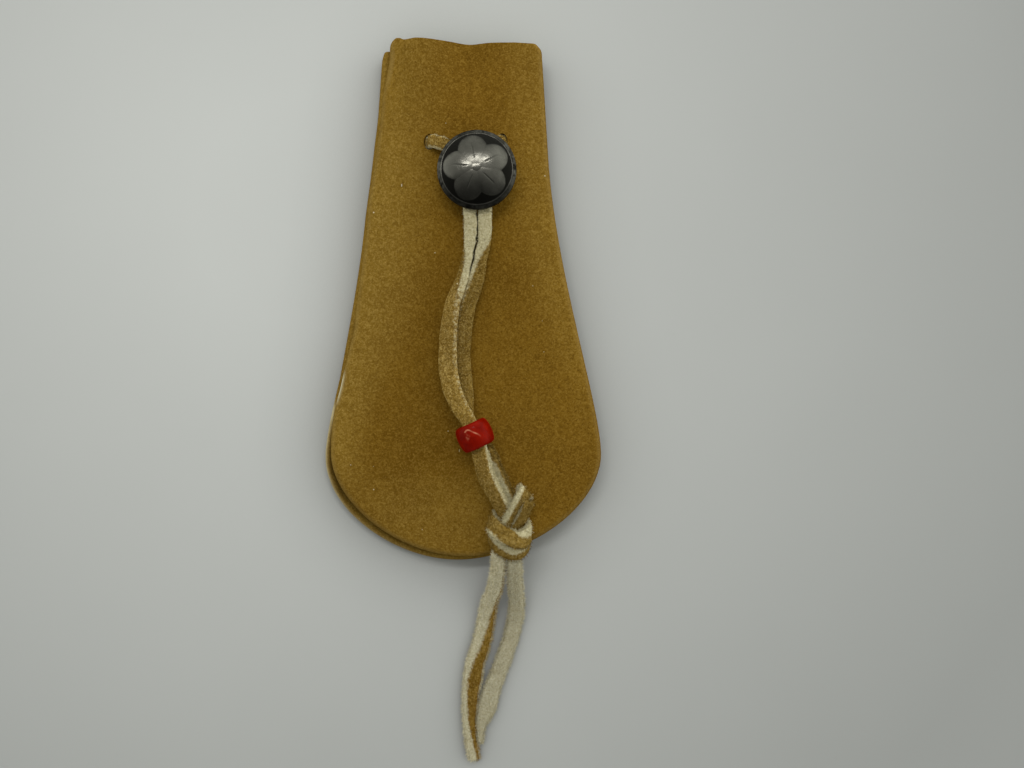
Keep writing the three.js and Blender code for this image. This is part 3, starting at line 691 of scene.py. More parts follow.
# Strands from their slits through the button's loop and the bead to the knot: x, y, z, and a roll if any
LACE_LEFT = (
    (-8.55, 103.35, 7.9), (-8.5, 103.35, 9.3), (-7.9, 103.25, 10.55), (-6.6, 102.8, 11.1),
    (-4.6, 102, 11.4), (-2.4, 100.7, 11.6), (-0.1, 98.6, 11.9), (1.2, 95.8, 11.98), (1.3, 92, 11.98),
    (1.35, 88, 11.98), (1.38, 85, 11.9), (1.45, 80.8, 11.3), (1.2, 77.4, 10.95), (0.5, 73.8, 10.8),
    (-0.4, 70.1, 10.85, 3), (-1.65, 66.4, 11.05, 8), (-2.95, 62.8, 11.4, 12), (-3.8, 56.6, 11.6, 14),
    (-4.1, 51.7, 11.65, 13), (-3.95, 46.8, 12.1, 9), (-2.95, 42.2, 13.3, 4), (-1.75, 39.3, 14.1),
    (-0.5, 37.0, 14.5), (0.54, 35.56, 14.62), (2.6, 31, 14.67), (3.25, 29.2, 14.66, 8),
    (3.95, 26.2, 14.55, 20), (5.4, 20.9, 14.45, 26), (7.85, 16.0, 13.9, 26), (9.1, 13.2, 13.0, 22),
    (10.2, 10.4, 12.2, 12), (10.6, 8.0, 12.0, 5),
)
LACE_RIGHT = (
    (9.3, 103.5, 7.9), (9.2, 103.5, 9.4), (8.5, 102.9, 10.7), (6.9, 101, 11.4), (5.7, 98.7, 11.8),
    (5.15, 95.8, 11.98), (5.15, 92, 11.98), (5.15, 88, 11.98), (5.0, 85, 11.9), (4.88, 80.8, 11.3),
    (4.55, 77.4, 10.9), (3.62, 73.8, 10.7), (3.05, 70.1, 10.6), (2.0, 66.4, 10.55), (0.8, 62.8, 10.5),
    (-0.2, 56.6, 10.4), (-0.6, 51.7, 10.35), (-0.45, 46.8, 10.4), (0.1, 42.2, 10.9), (0.3, 39.6, 11.5),
    (0.35, 37.1, 12.2), (0.54, 35.56, 12.47), (2.6, 31, 12.52), (3.7, 29.3, 12.55, 8),
    (5.6, 26.8, 12.85, 22), (7.75, 22.3, 13.2, 28), (9.85, 17.7, 13.1, 26), (11.2, 14.2, 12.4, 18),
    (12.0, 11.0, 11.7, 6),
)
TAIL_LEFT = (
    (9.0, 4.0, 12.0), (8.3, 1.2, 11.5), (8.1, -1.5, 10.4), (7.85, -4.3, 8.5), (7.1, -8, 6.1),
    (6.1, -11.5, 4), (5, -17.3, 1.6), (3.85, -22.7, 1.05), (2.3, -28, 1.05), (1.4, -33.1, 1.05),
    (0.85, -38.3, 1.05), (0.7, -43.5, 1.05), (1.2, -48.7, 1.05), (2, -53.8, 1.05),
)
TAIL_RIGHT = (
    (12.0, 4.0, 12.0), (12.1, 1.2, 11.5), (12.1, -1.5, 10.4), (12.3, -4.3, 8.5), (12.6, -8, 6.1),
    (12.75, -11.5, 4), (12.4, -17.3, 1.6), (11.1, -22.7, 1.05), (9.35, -28, 1.05), (7.3, -33.1, 1.05),
    (5.6, -38.3, 1.05), (4.8, -41.2, 1.05), (3.7, -44.2, 1.05), (3.35, -47, 1.05), (3.5, -49.3, 1.05),
)
BACK_HALF = ((7, 0.98), (9.35, 1), (10.65, 1.95), (10.85, 3.8), (10.6, 5.6), (9.9, 7.2), (9.3, 8.9))

# Facing of the nap by height on the pouch, in degrees: 0 up, 180 down, less than 0 towards the left edge
NAP_LEFT = (
    (110, 0), (98, 0), (92, -180), (80, -180), (77.5, -150), (75, -115), (73.2, -102), (68.8, -88),
    (66.4, -75), (64, -63), (61.5, -52), (57, -40), (40, -38), (26, -34), (10, -40),
)
NAP_RIGHT = (
    (110, 0), (98, 0), (92, 180), (81, 180), (78.5, 140), (76.2, 106), (73.2, 67), (68.8, 53), (64, 44),
    (58, 36), (40, 34), (29, 30), (26.5, 60), (24, 125), (10, 135),
)
NAP_TAIL_LEFT = (
    (8, 150), (-3, 114), (-11, 98), (-15, 80), (-20, 63), (-25.5, 49), (-33.2, 18), (-38.4, 30),
    (-43.5, 41), (-48.7, 68), (-54, 88),
)
NAP_TAIL_RIGHT = ((8, 212), (-9, 208), (-16, 186), (-30, 178), (-50, 172))
# Half the turn that the nap covers, by height on the pouch
STRAND_NAP_LIMIT = (
    (110, 50), (99, 50), (96, 106), (81, 106), (77, 92), (73, 81), (62, 86), (29, 86), (26, 90),
    (10, 90),
)
LEFT_TAIL_NAP_LIMIT = 52
RIGHT_TAIL_NAP_LIMIT = 66
# Least share of nap colour on the edges of a strand, by height on the pouch
LEAST_NAP = ((110, 0), (74, 0), (63, 0.66), (31, 0.66), (28, 0.1), (10, 0))
# Share of nap colour on the upright sides of a strand, by height on the pouch
SIDE_NAP = ((110, 0), (74, 0), (66, 0.85), (31, 0.85), (28, 0.2), (10, 0))
# Brightness factor of each strand and tail by height on the pouch; on the two strands it is painted light
# and shade
SHADE_LEFT = ((101, 1.3), (98, 1.12), (72, 1.12), (62, 1.36), (30, 1.36), (10, 1.2))
SHADE_RIGHT = ((100, 1.08), (76, 1.08), (62, 1.1), (26, 1.06), (20, 0.98))
SHADE_TAIL_LEFT = ((4, 1.03), (-20, 1.0), (-55, 1.0))
SHADE_TAIL_RIGHT = ((4, 0.86), (-20, 0.82), (-55, 0.82))
TAIL_FUZZ = 1.55
TAIL_FIBRE_NAP = 0.6
# Brightness of the tails' fibres: painted light, for light shining through them
TAIL_FIBRE_PAINTED_LIGHT = 1.32
STRAND_FIBRE_TILT = 0.3
KNOT_FUZZ = 1.35
KNOT_WIDTH = 3.9
KNOT_THICKNESS = 1.7
KNOT_SHADE = 0.97
# Width of a strand by height on the pouch
WIDTH_LEFT = (
    (110, 3.1), (101, 3.3), (96, 3.5), (84, 3.4), (80, 3.25), (77.4, 2.9), (73.8, 2.5), (70, 3.0),
    (66, 3.5), (62.8, 3.8), (56.6, 4.3), (51.7, 4.55), (42, 4.6), (38, 4.1), (35.5, 3.8), (30, 3.9),
    (25, 4.2), (20, 4.3), (15.5, 3.9), (10, 3.4),
)
WIDTH_RIGHT = (
    (110, 3.1), (101, 3.3), (96, 3.5), (84, 3.4), (77, 3.5), (73.8, 3.45), (70, 3.85), (40, 3.9),
    (35, 3.7), (10, 3.7),
)
WIDTH_TAIL_LEFT = (
    (4, 2.7), (1, 2.7), (-11.8, 3.5), (-22.8, 4.2), (-33, 4.3), (-38, 3.7), (-43.5, 3.0), (-53.8, 2.4),
)
WIDTH_TAIL_RIGHT = (
    (4, 2.9), (-11, 3.3), (-33, 3.5), (-38.3, 4.0), (-41.2, 4.0), (-44.2, 2.2), (-47, 1.4), (-49.3, 1.0),
)


# One free strand of the lace: its route, its tables by height on the pouch, and how it ends
@dataclass
class Strand:
    name: str
    stations: tuple
    nap: tuple
    limit: object
    width: tuple
    shade: tuple
    seed: int
    far_end: str
    bare: int = 0


STRANDS = (
    Strand("lace_left", LACE_LEFT, NAP_LEFT, STRAND_NAP_LIMIT, WIDTH_LEFT, SHADE_LEFT, 21, "knot", 1),
    Strand("lace_right", LACE_RIGHT, NAP_RIGHT, STRAND_NAP_LIMIT, WIDTH_RIGHT, SHADE_RIGHT, 24, "knot", -1),
    Strand(
        "tail_left", TAIL_LEFT, NAP_TAIL_LEFT, LEFT_TAIL_NAP_LIMIT, WIDTH_TAIL_LEFT, SHADE_TAIL_LEFT,
        27, "bare"),
    Strand(
        "tail_right", TAIL_RIGHT, NAP_TAIL_RIGHT, RIGHT_TAIL_NAP_LIMIT, WIDTH_TAIL_RIGHT, SHADE_TAIL_RIGHT,
        31, "bare"),
)


# Mesh of a strand
def make_strand(strand, lace_hide):
    route = smooth_route([(*station, 0)[:4] for station in strand.stations], LACE_STEP)
    points, rolls = route[:, :3], route[:, 3]
    height = points[:, 1]
    strip = Strip(
        strand.seed, table_values(height, strand.width), nap_limit=table_values(height, strand.limit),
        bare=strand.bare)
    if strand.far_end == "bare":
        strip.fuzz, strip.fibre_nap, strip.fibre_painted_light = TAIL_FUZZ, TAIL_FIBRE_NAP, TAIL_FIBRE_PAINTED_LIGHT
    else:
        strip.least_nap, strip.side_nap = table_values(height, LEAST_NAP), table_values(height, SIDE_NAP)
        strip.fibre_tilt = STRAND_FIBRE_TILT
    sides = rolled_sides(points, rolls)
    flat, faces, nap, dark = strip_mesh(points, sides, table_values(height, strand.nap), strip)
    flat[:, 2] = np.maximum(flat[:, 2], TABLE_GAP)
    # Painted light and shade of the strand: its brightness table times the gap shade and fibre light
    fields = {"nap": nap, "shade": dark * table_values(flat[:, 1], strand.shade)}
    piece = add_lace(strand.name + "_strip", flat, faces, lace_hide, strand.name, fields)
    return piece


def make_back_lace(lace_hide):
    half = [(x, SLIT_HEIGHT, z) for x, z in BACK_HALF]
    stations = [(-x, y, z) for x, y, z in reversed(half)] + [(0, SLIT_HEIGHT, 0.98)] + half
    points = smooth_route(stations, LACE_STEP)
    sides = np.tile((0.0, 1.0, 0.0), (len(points), 1))
    nap_turns = np.full(len(points), 180.0)
    flat, faces, nap, _ = strip_mesh(points, sides, nap_turns, Strip(5))
    flat[:, 2] = np.maximum(flat[:, 2], TABLE_GAP)
    fields = {"nap": nap, "shade": np.ones(len(nap))}
    return add_lace("lace_back_strip", flat, faces, lace_hide, "lace_back", fields)


# Overhand knot: two strands over the top, two round the lower half: x, y, z and the way it faces
KNOT_OVER_LEFT = (
    (14.5, 16.2, 9.9, 0.6, 0.8, -0.1), (14.75, 16.9, 11.6, 0.7, 0.65, 0.25),
    (14.5, 16.6, 13.2, 0.68, 0.1, 0.66), (13.5, 15.1, 13.75, 0.65, -0.3, 0.67),
    (12.47, 13.35, 13.75, 0.65, -0.35, 0.67), (11.5, 11.4, 13.6, 0.6, -0.35, 0.7),
    (10.65, 9.7, 13.2, 0.5, -0.35, 0.77), (9.9, 8.0, 12.6, 0.4, -0.4, 0.8),
)
KNOT_OVER_RIGHT = (
    (14.6, 14.6, 9.8, 0.8, 0.6, 0), (15.3, 15.3, 11.2, 0.8, 0.5, 0.3),
    (15.35, 14.3, 12.4, 0.75, -0.1, 0.65), (14.67, 12.3, 12.6, 0.72, -0.38, 0.57),
    (13.8, 10.4, 12.5, 0.7, -0.38, 0.6), (12.9, 8.6, 12.1, 0.6, -0.4, 0.7),
    (12.2, 7.0, 11.6, 0.5, -0.4, 0.75),
)
KNOT_WRAP_UPPER = (
    (12, 9, 9.4, 0, 0, -1), (9.4, 9.9, 9.5, -0.3, 0, -0.95), (7.2, 10.5, 10.6, -0.95, 0.1, -0.25),
    (6.7, 9.9, 12.6, -0.85, 0.1, 0.5), (7.7, 8.4, 14.2, -0.4, 0.25, 0.88),
    (9.4, 7.1, 14.9, -0.1, 0.3, 0.95), (11.4, 6.2, 15.1, 0.1, 0.32, 0.94),
    (13.4, 5.75, 14.7, 0.4, 0.3, 0.86), (15.0, 6.2, 13.4, 0.8, 0.25, 0.5),
    (15.6, 7.2, 11.6, 0.95, 0.1, -0.2), (14.4, 8.3, 9.8, 0.3, 0, -0.95), (12.4, 8.9, 9.3, 0, 0, -1),
)
KNOT_WRAP_LOWER = (
    (12, 6.6, 9.4, 0, 0, -1), (9.4, 7.0, 9.5, -0.4, 0, -0.9), (7.4, 7.2, 10.5, -0.95, 0, -0.2),
    (6.9, 6.5, 12.0, -0.85, -0.1, 0.5), (8.0, 4.7, 13.0, -0.45, -0.2, 0.87),
    (10.0, 3.2, 13.5, -0.1, -0.3, 0.95), (12.0, 2.5, 13.5, 0.1, -0.35, 0.93),
    (13.8, 2.9, 12.9, 0.45, -0.3, 0.84), (15.0, 4.3, 11.6, 0.85, -0.2, 0.45),
    (14.2, 5.8, 9.9, 0.4, 0, -0.9), (12.4, 6.5, 9.3, 0, 0, -1),
)
# Facing of the nap along each strip of the knot, by share of its length
KNOT_NAPS = (
    ((0, 6), (1, 6)), ((0, -4), (1, -4)),
    ((0, 12), (0.3, 12), (0.4, 36), (0.48, 20), (0.57, -8), (0.66, -50), (0.76, -72), (1, -72)),
    ((0, -42), (1, -50)),
)
KNOT_NAP_LIMITS = (44.0, 76.0, 66.0, 46.0)


def knot_strip(stations, nap_table, nap_limit, seed):
    route = smooth_route(stations, LACE_STEP)
    points, faces_out = route[:, :3], unit(route[:, 3:])
    run = unit(np.gradient(points, axis=0))
    sides = np.cross(faces_out, run)
    nap_turns = table_values(np.linspace(0.0, 1.0, len(points)), nap_table)
    strip = Strip(seed, KNOT_WIDTH, KNOT_THICKNESS, nap_limit, fuzz=KNOT_FUZZ)
    return strip_mesh(points, sides, nap_turns, strip)


def make_knot(lace_hide):
    points, faces, naps = [], [], []
    start = 0
    strips = (KNOT_OVER_LEFT, KNOT_OVER_RIGHT, KNOT_WRAP_UPPER, KNOT_WRAP_LOWER)
    for seed, (stations, nap_table, nap_limit) in enumerate(zip(strips, KNOT_NAPS, KNOT_NAP_LIMITS)):
        flat, strip_faces, nap, _ = knot_strip(stations, nap_table, nap_limit, 40 + 3 * seed)
        points.append(flat)
        faces += [tuple(start + k for k in face) for face in strip_faces]
        naps.append(nap)
        start += len(flat)
    fields = {"nap": np.concatenate(naps), "shade": np.full(start, KNOT_SHADE)}
    return add_lace("knot_strips", np.vstack(points), faces, lace_hide, "lace_knot", fields)


# Right half of a panel's outline, from the mouth to the bottom, with the distance along it
def half_outline():
    mouth = np.array((MOUTH_WIDTH / 2, PANEL_LENGTH))
    neck = np.array((NECK_WIDTH / 2, PANEL_LENGTH - NECK_LENGTH))
    side = np.array((BODY_WIDTH / 2, WIDEST_HEIGHT))
    lean = unit(neck - mouth) * FLANK_PULL
    share = np.linspace(0.0, 1.0, 400)[:, None]

    def bezier(a, b, c, d):
        rest = 1.0 - share
        return rest ** 3 * a + 3 * rest ** 2 * share * b + 3 * rest * share ** 2 * c + share ** 3 * d

    flank = bezier(neck, neck + lean, side + (0.0, HIP_PULL), side)
    base = bezier(side, side - (0.0, SIDE_PULL), np.array((BOTTOM_PULL, 0.0)), np.zeros(2))
    dense = np.vstack((mouth + (neck - mouth) * share, flank[1:], base[1:]))
    return dense, path_reach(dense)


OUTLINE, OUTLINE_REACH = half_outline()


# Outline points at distances from the mouth, and the directions into the panel
def outline_spots(distances, pinch):
    spots = np.stack([np.interp(distances, OUTLINE_REACH, OUTLINE[:, k]) for k in range(2)], axis=1)
    slope = np.gradient(OUTLINE, OUTLINE_REACH, axis=0)
    run = unit(np.stack([np.interp(distances, OUTLINE_REACH, slope[:, k]) for k in range(2)], axis=1))
    inward = np.stack((run[:, 1], -run[:, 0]), axis=1)
    inward[-1] = (0.0, 1.0)
    spots[:, 0] -= pinch * np.maximum(0.0, 1.0 - distances / MOUTH_CORNER) ** 2
    spots[-1, 0] = 0.0
    return spots, inward


def fold_sum(x, sizes):
    return bell(x[..., None], MOUTH_FOLD_PLACES, MOUTH_FOLD_SPREADS) @ sizes


def mouth_share(y):
    return smooth(PANEL_LENGTH - MOUTH_FADE, PANEL_LENGTH, y)


# Rise of the front panel above its folded edges
def front_rise(x, y, half_width):
    across = 1.0 - np.minimum(np.abs(x) / np.maximum(half_width, 0.001), 1.0) ** CROWN_POWER
    climb = np.clip((y - FOLD_RADIUS) / BOTTOM_SWELL, 0.0, 1.0)
    crown = BELLY_CROWN + (NECK_CROWN - BELLY_CROWN) * smooth(*CROWN_BLEND, y)
    swell = crown * across * (1.0 - (1.0 - climb) ** CROWN_POWER)
    folds = fold_sum(x, MOUTH_FOLD_RISES) * smooth(0.0, FOLD_EDGE_FADE, across)
    share = mouth_share(y)
    return swell * (1.0 - share) + folds * share


# Lift of the back panel over the lace that crosses behind the neck
def back_lift(x, y):
    along = 1.0 - smooth(BACK_SLIT_SPREAD, BACK_SLIT_SPREAD + CHANNEL_RAMP, np.abs(x))
    across = 1.0 - smooth(CHANNEL_FLAT, CHANNEL_FLAT + CHANNEL_RAMP, np.abs(y - SLIT_HEIGHT))
    return CHANNEL_DEPTH * along * across


# Soft unevenness of the hide, and the small crease under the middle of the mouth
def hide_ripple(points):
    ripple = sum(size * soft_noise(points, cell, seed) for size, cell, seed in HIDE_RIPPLES)
    x, y = points[:, 0], points[:, 1]
    bend = 0.35 + 0.25 * np.sin(y / 2.6)
    crease = bell(x, bend, 0.55) * smooth(108.0, 114.0, y) * (1.0 - smooth(123.0, 127.0, y))
    return ripple - CREASE_DEPTH * crease


# Share of the left flank's bulge at points of rows with these half widths
def flank_share(x, y, half_width):
    below = np.clip((y - FLANK_LOW) / (FLANK_FULL - FLANK_LOW), 0.0, 1.0)
    height = below * (1.0 - smooth(FLANK_FULL, FLANK_HIGH, y))
    return height * smooth(FLANK_INNER, np.maximum(half_width - FLANK_OUTER, FLANK_INNER + 1.0), -x)


# Sideways moves of the left edges by height, outward above 0, where the soft hide leaves its cut outline
FRONT_EDGE_MOVES = (
    (0, 0), (6, -0.2), (13, -0.28), (19, -0.2), (26, -0.05), (32, 0.0), (36, 0.05), (42, -0.6),
    (47, -0.85), (52, -1.1), (57, -1.45), (64, -0.9), (82, -0.8), (95, -0.4), (104, 0.5), (115, 1.2),
    (121, 0.4), (124, 0),
)
BACK_EDGE_MOVES = (
    (0, -0.3), (16, -0.35), (21, -0.38), (28, -0.05), (36, -0.2), (47, -0.55), (60, -0.25), (72, 0.0),
    (87, 0.27), (107, 0.62), (122, 0.4), (129, 0.3),
)
BACK_BOTTOM_RISE = 0.35


def move_left_edge(surface, table):
    x, y = surface[..., 0], surface[..., 1]
    reach = x - x.min(axis=1, keepdims=True)
    near = (1.0 - smooth(1.0, 12.0, reach)) * smooth(0.0, -14.0, x)
    surface[..., 0] -= table_values(y, table) * near


# The back's edge swells up against the front's along the left side, so the joint is shallow there
def fill_left_groove(surface, turns):
    rise = GROOVE_FILL * smooth(-0.2, -1.2, turns)
    rise[:, :FLANGE_STEPS] *= np.linspace(0.0, 1.0, FLANGE_STEPS, endpoint=False)
    rise[:, rise.shape[1] // 2:] = 0.0
    surface[..., 2] += rise * smooth(36.0, 50.0, surface[..., 1])


# Lanes round the rolled edge of the right half, from its top into the seam, and their normals
def edge_lanes(spots, inward):
    radius = FOLD_RADIUS - LEATHER / 2
    roll = np.linspace(np.pi / 2, -np.pi / 2, ROLL_STEPS + 1)
    angles = np.concatenate((roll, np.full(FLANGE_STEPS, -np.pi / 2)))
    flange = np.linspace(0, SEAM_ALLOWANCE, FLANGE_STEPS + 1)[1:]
    insets = FOLD_RADIUS - radius * np.cos(angles) + np.concatenate((np.zeros(ROLL_STEPS + 1), flange))
    lanes = np.zeros((len(spots), len(angles), 3))
    lanes[..., :2] = spots[:, None, :] + inward[:, None, :] * insets[:, None]
    lanes[..., 2] = EDGE_HEIGHT - FOLD_RADIUS + radius * np.sin(angles)
    normals = np.zeros_like(lanes)
    normals[..., :2] = -inward[:, None, :] * np.cos(angles)[:, None]
    normals[..., 2] = np.sin(angles)
    return lanes, normals, angles


# Columns between the two rolled edges, and their normals
def crown_columns(edge):
    share = 2.0 * np.arange(1, PANEL_COLUMNS) / PANEL_COLUMNS - 1.0
    columns = np.zeros((len(edge), len(share), 3))
    columns[..., 0] = edge[:, :1] * share
    columns[..., 1] = edge[:, 1:2]
    columns[..., 2] = edge[:, 2:3] + front_rise(columns[..., 0], columns[..., 1], edge[:, :1])
    gap = np.maximum(np.gradient(columns[..., 0], axis=1), 1e-3)
    normals = np.zeros_like(columns)
    normals[..., 0] = np.clip(-np.gradient(columns[..., 2], axis=1) / gap, -0.6, 0.6)
    normals[..., 2] = 1.0
    return columns, normals


# Middle surface of a panel as rows of points, its normals, and the turn of each lane round the rolled edge
def panel_surface(bulge, pinch, cuts):
    corner = np.arange(0.0, MOUTH_CORNER, CORNER_STEP)
    reach = OUTLINE_REACH[-1]
    rows = np.linspace(MOUTH_CORNER, reach, int((reach - MOUTH_CORNER) / ROW_STEP))
    spots, inward = outline_spots(np.concatenate((corner, rows)), pinch)
    lanes, lane_normals, angles = edge_lanes(spots, inward)
    columns, column_normals = crown_columns(lanes[:, 0])
    mirror = np.array((-1.0, 1.0, 1.0))
    surface = np.concatenate((lanes[:, ::-1] * mirror, columns, lanes), axis=1)
    normals = unit(np.concatenate((lane_normals[:, ::-1] * mirror, column_normals, lane_normals), axis=1))
    surface[..., 1] += fold_sum(surface[..., 0], cuts) * mouth_share(surface[..., 1])
    surface[..., 0] -= bulge * flank_share(surface[..., 0], surface[..., 1], spots[:, :1])
    turns = np.concatenate((angles[::-1], np.full(columns.shape[1], np.pi / 2), angles))
    return surface, normals, np.tile(turns, (len(spots), 1)), len(angles)


# Paler tone of the hide towards its edges, wider on the left flank and the neck, and in a band low on the
# left: partly rubbed wear, partly painted light where the flanks face the light
def pale_rub_and_light_tone(surface):
    x, y = surface[..., 0], surface[..., 1]
    left, right = x - x.min(axis=1, keepdims=True), x.max(axis=1, keepdims=True) - x
    neck = smooth(25.0, 75.0, y)
    left_tone = (0.85 - 0.35 * smooth(95.0, 112.0, y)) * (1.0 - smooth(1.0, 11.0 + 10.0 * neck, left))
    left_tone = left_tone * smooth(9.0, 30.0, y)
    right_tone = (0.04 + 0.4 * neck) * (1.0 - smooth(1.5, 6.0 + 7.0 * neck, right))
    # Painted light: a paler band low on the left
    painted_light_low = 0.42 * smooth(26.0, 12.0, y) * smooth(14.0, 2.0, x) * smooth(-31.0, -18.0, x)
    return np.clip(np.maximum(left_tone, right_tone) + painted_light_low, 0.0, 1.2)


# Last row joined into one line: the left lanes meet the right ones, and the columns meet in the middle
def last_row_merge(rows, columns, lanes):
    merge = np.arange(rows * columns)
    base = (rows - 1) * columns
    for k in range(lanes):
        merge[base + k] = base + columns - 1 - k
    merge[base + lanes:base + columns - lanes] = base + columns - lanes
    return merge


def panel_mesh(surface, normals, flip):
    rows, columns = surface.shape[:2]
    middle, out = surface.reshape(-1, 3), normals.reshape(-1, 3)
    points = np.vstack((middle + out * LEATHER / 2, middle - out * LEATHER / 2))
    count = rows * columns
    outer = grid_faces(rows, columns, flip=not flip)
    inner = grid_faces(rows, columns, start=count, flip=flip)
    walls = [(a, a + 1, a + 1 + count, a + count) for a in range(columns - 1)]
    for i in range(rows - 1):
        a, b = i * columns, (i + 1) * columns
        walls.append((b, a, a + count, b + count))
        a, b = a + columns - 1, b + columns - 1
        walls.append((a, b, b + count, a + count))
    if flip:
        walls = [tuple(reversed(face)) for face in walls]
    return points, outer, inner + walls


def clean_faces(faces, merge, slots):
    kept, kept_slots = [], []
    for face, slot in zip(faces, slots):
        merged = [merge[k] for k in face]
        corners = [k for i, k in enumerate(merged) if k != merged[i - 1]]
        if len(set(corners)) >= 3:
            kept.append(tuple(corners))
            kept_slots.append(slot)
    return kept, kept_slots


def drop_loose(points, faces, fields):
    used = np.unique(np.concatenate([np.asarray(face) for face in faces]))
    place = np.full(len(points), -1)
    place[used] = np.arange(len(used))
    faces = [tuple(place[list(face)].tolist()) for face in faces]
    return points[used], faces, {key: values[used] for key, values in fields.items()}


def slit_cutter(name, x, y, levels, reach, wall):
    angle = ring_angles(SLIT_SIDES)
    rings = []
    for z, half in levels:
        tall = reach + half - levels[0][1]
        ring = (x + half * np.cos(angle), y + tall * np.sin(angle), np.full(SLIT_SIDES, z))
        rings.append(np.stack(ring, axis=1))
    faces = tube_faces(len(levels), SLIT_SIDES)
    return new_object(name, new_mesh(name, to_metres(np.vstack(rings)).tolist(), faces, (wall,)))


def cut_slits(piece, slits, levels, wall):
    cutters = [
        slit_cutter(name, x, SLIT_HEIGHT + shift, levels, reach, wall) for name, x, shift, reach in slits]
    for cutter in cutters:
        modifier = piece.modifiers.new("slit", "BOOLEAN")
        modifier.operation = "DIFFERENCE"
        modifier.solver = "EXACT"
        modifier.material_mode = "TRANSFER"
        modifier.object = cutter
    graph = bpy.context.evaluated_depsgraph_get()
    cut = bpy.data.meshes.new_from_object(piece.evaluated_get(graph), depsgraph=graph)
    piece.modifiers.clear()
    piece.data = cut
    cut.polygons.foreach_set("use_smooth", [True] * len(cut.polygons))
    cut.set_sharp_from_angle(angle=math.radians(50))
    for cutter in cutters:
        bpy.data.objects.remove(cutter)


def add_panel(name, surface, normals, tones, lanes, flip, hide, flesh):
    rows, columns = surface.shape[:2]
    points, outer, rest = panel_mesh(surface, normals, flip)
    merge = last_row_merge(rows, columns, lanes)
    merge = np.concatenate((merge, merge + rows * columns))
    slots = [0] * len(outer) + [1] * len(rest)
    faces, slots = clean_faces(outer + rest, merge, slots)
    fields = {key: np.concatenate((tone.ravel(), tone.ravel())) for key, tone in tones.items()}
    points, faces, fields = drop_loose(points, faces, fields)
    panel = add_piece(name + "_hide", points, faces, "pouch", (hide, flesh), (name,), slots, fields)
    return panel


def front_tones(surface, turns):
    x, y = surface[..., 0], surface[..., 1]
    rub_and_highlight = 0.4 * bell(turns, 0.8, 0.35)
    # Painted highlight: a pale streak on the left edge below the mouth, where the edge bends
    painted_streak = smooth(116.0, 121.0, y) * (1.0 - smooth(125.5, 127.5, y)) * (x < 0)
    rub_and_highlight = rub_and_highlight + 0.5 * painted_streak * bell(turns, 1.2, 0.3) * (turns < 1.56)
    bared = smooth(37.5, 40.5, y) * (1.0 - smooth(44.0, 47.5, y)) * (x < 0)
    raw = bared * bell(turns, 0.45, 0.35)
    # Painted shade in the seam under the front's rolled edge, and along its lower left edge
    low = smooth(40.0, 33.0, y) * smooth(4.0, 14.0, y) * (x < 0)
    crease_shade = np.maximum(smooth(-0.3, -0.9, turns), 0.6 * low * smooth(0.4, 0.0, turns))
    return {"rub_and_highlight": rub_and_highlight, "crease_shade": crease_shade, "pale": pale_rub_and_light_tone(surface), "raw": raw, "rim": np.zeros_like(raw)}


def back_tones(surface, turns):
    x, y = surface[..., 0], surface[..., 1]
    low = smooth(44.0, 34.0, y)
    groove = low * (0.45 + 0.55 * smooth(6.0, 28.0, y))
    rub_and_highlight = 0.85 * bell(turns, -0.15, 0.35) * low
    # Painted shade in the seam groove between the panels, low on the pouch
    crease_shade = smooth(-1.15, -1.45, turns) * (0.12 + 0.3 * groove) + 0.4 * smooth(-0.85, -1.2, turns) * groove
    # Painted light: a paler band on the back's rolled edge beyond the front
    pale = 0.75 * smooth(1.3, 0.3, turns)
    fray = 1.0 + 0.35 * soft_noise(surface.reshape(-1, 3), 1.6, 14).reshape(x.shape)
    rim = smooth(42.0, 38.5, y) * (0.25 + 0.75 * smooth(4.0, 24.0, y)) * smooth(0.0, -16.0, x)
    reach = 0.5 + 0.5 * bell(y, 38.0, 2.5)
    rim = np.clip(rim * fray, 0.0, 1.0) * bell(turns, -0.3, reach)
    return {"rub_and_highlight": rub_and_highlight, "crease_shade": crease_shade, "pale": pale, "raw": np.zeros_like(rub_and_highlight), "rim": rim}


def make_front(hide, flesh, slit):
    surface, normals, turns, lanes = panel_surface(FLANK_BULGE, MOUTH_PINCH, FRONT_MOUTH_CUTS)
    move_left_edge(surface, FRONT_EDGE_MOVES)
    tones = front_tones(surface, turns)
    ripple = hide_ripple(surface.reshape(-1, 3)).reshape(surface.shape[:2])
    top = normals[:, :, 2:3].clip(0.0, 1.0)
    surface = surface + normals * ripple[:, :, None] * top
    front = add_panel("front_panel", surface, normals, tones, lanes, False, hide, flesh)
    cut_slits(front, FRONT_SLITS, FRONT_SLIT_LEVELS, slit)
    return front


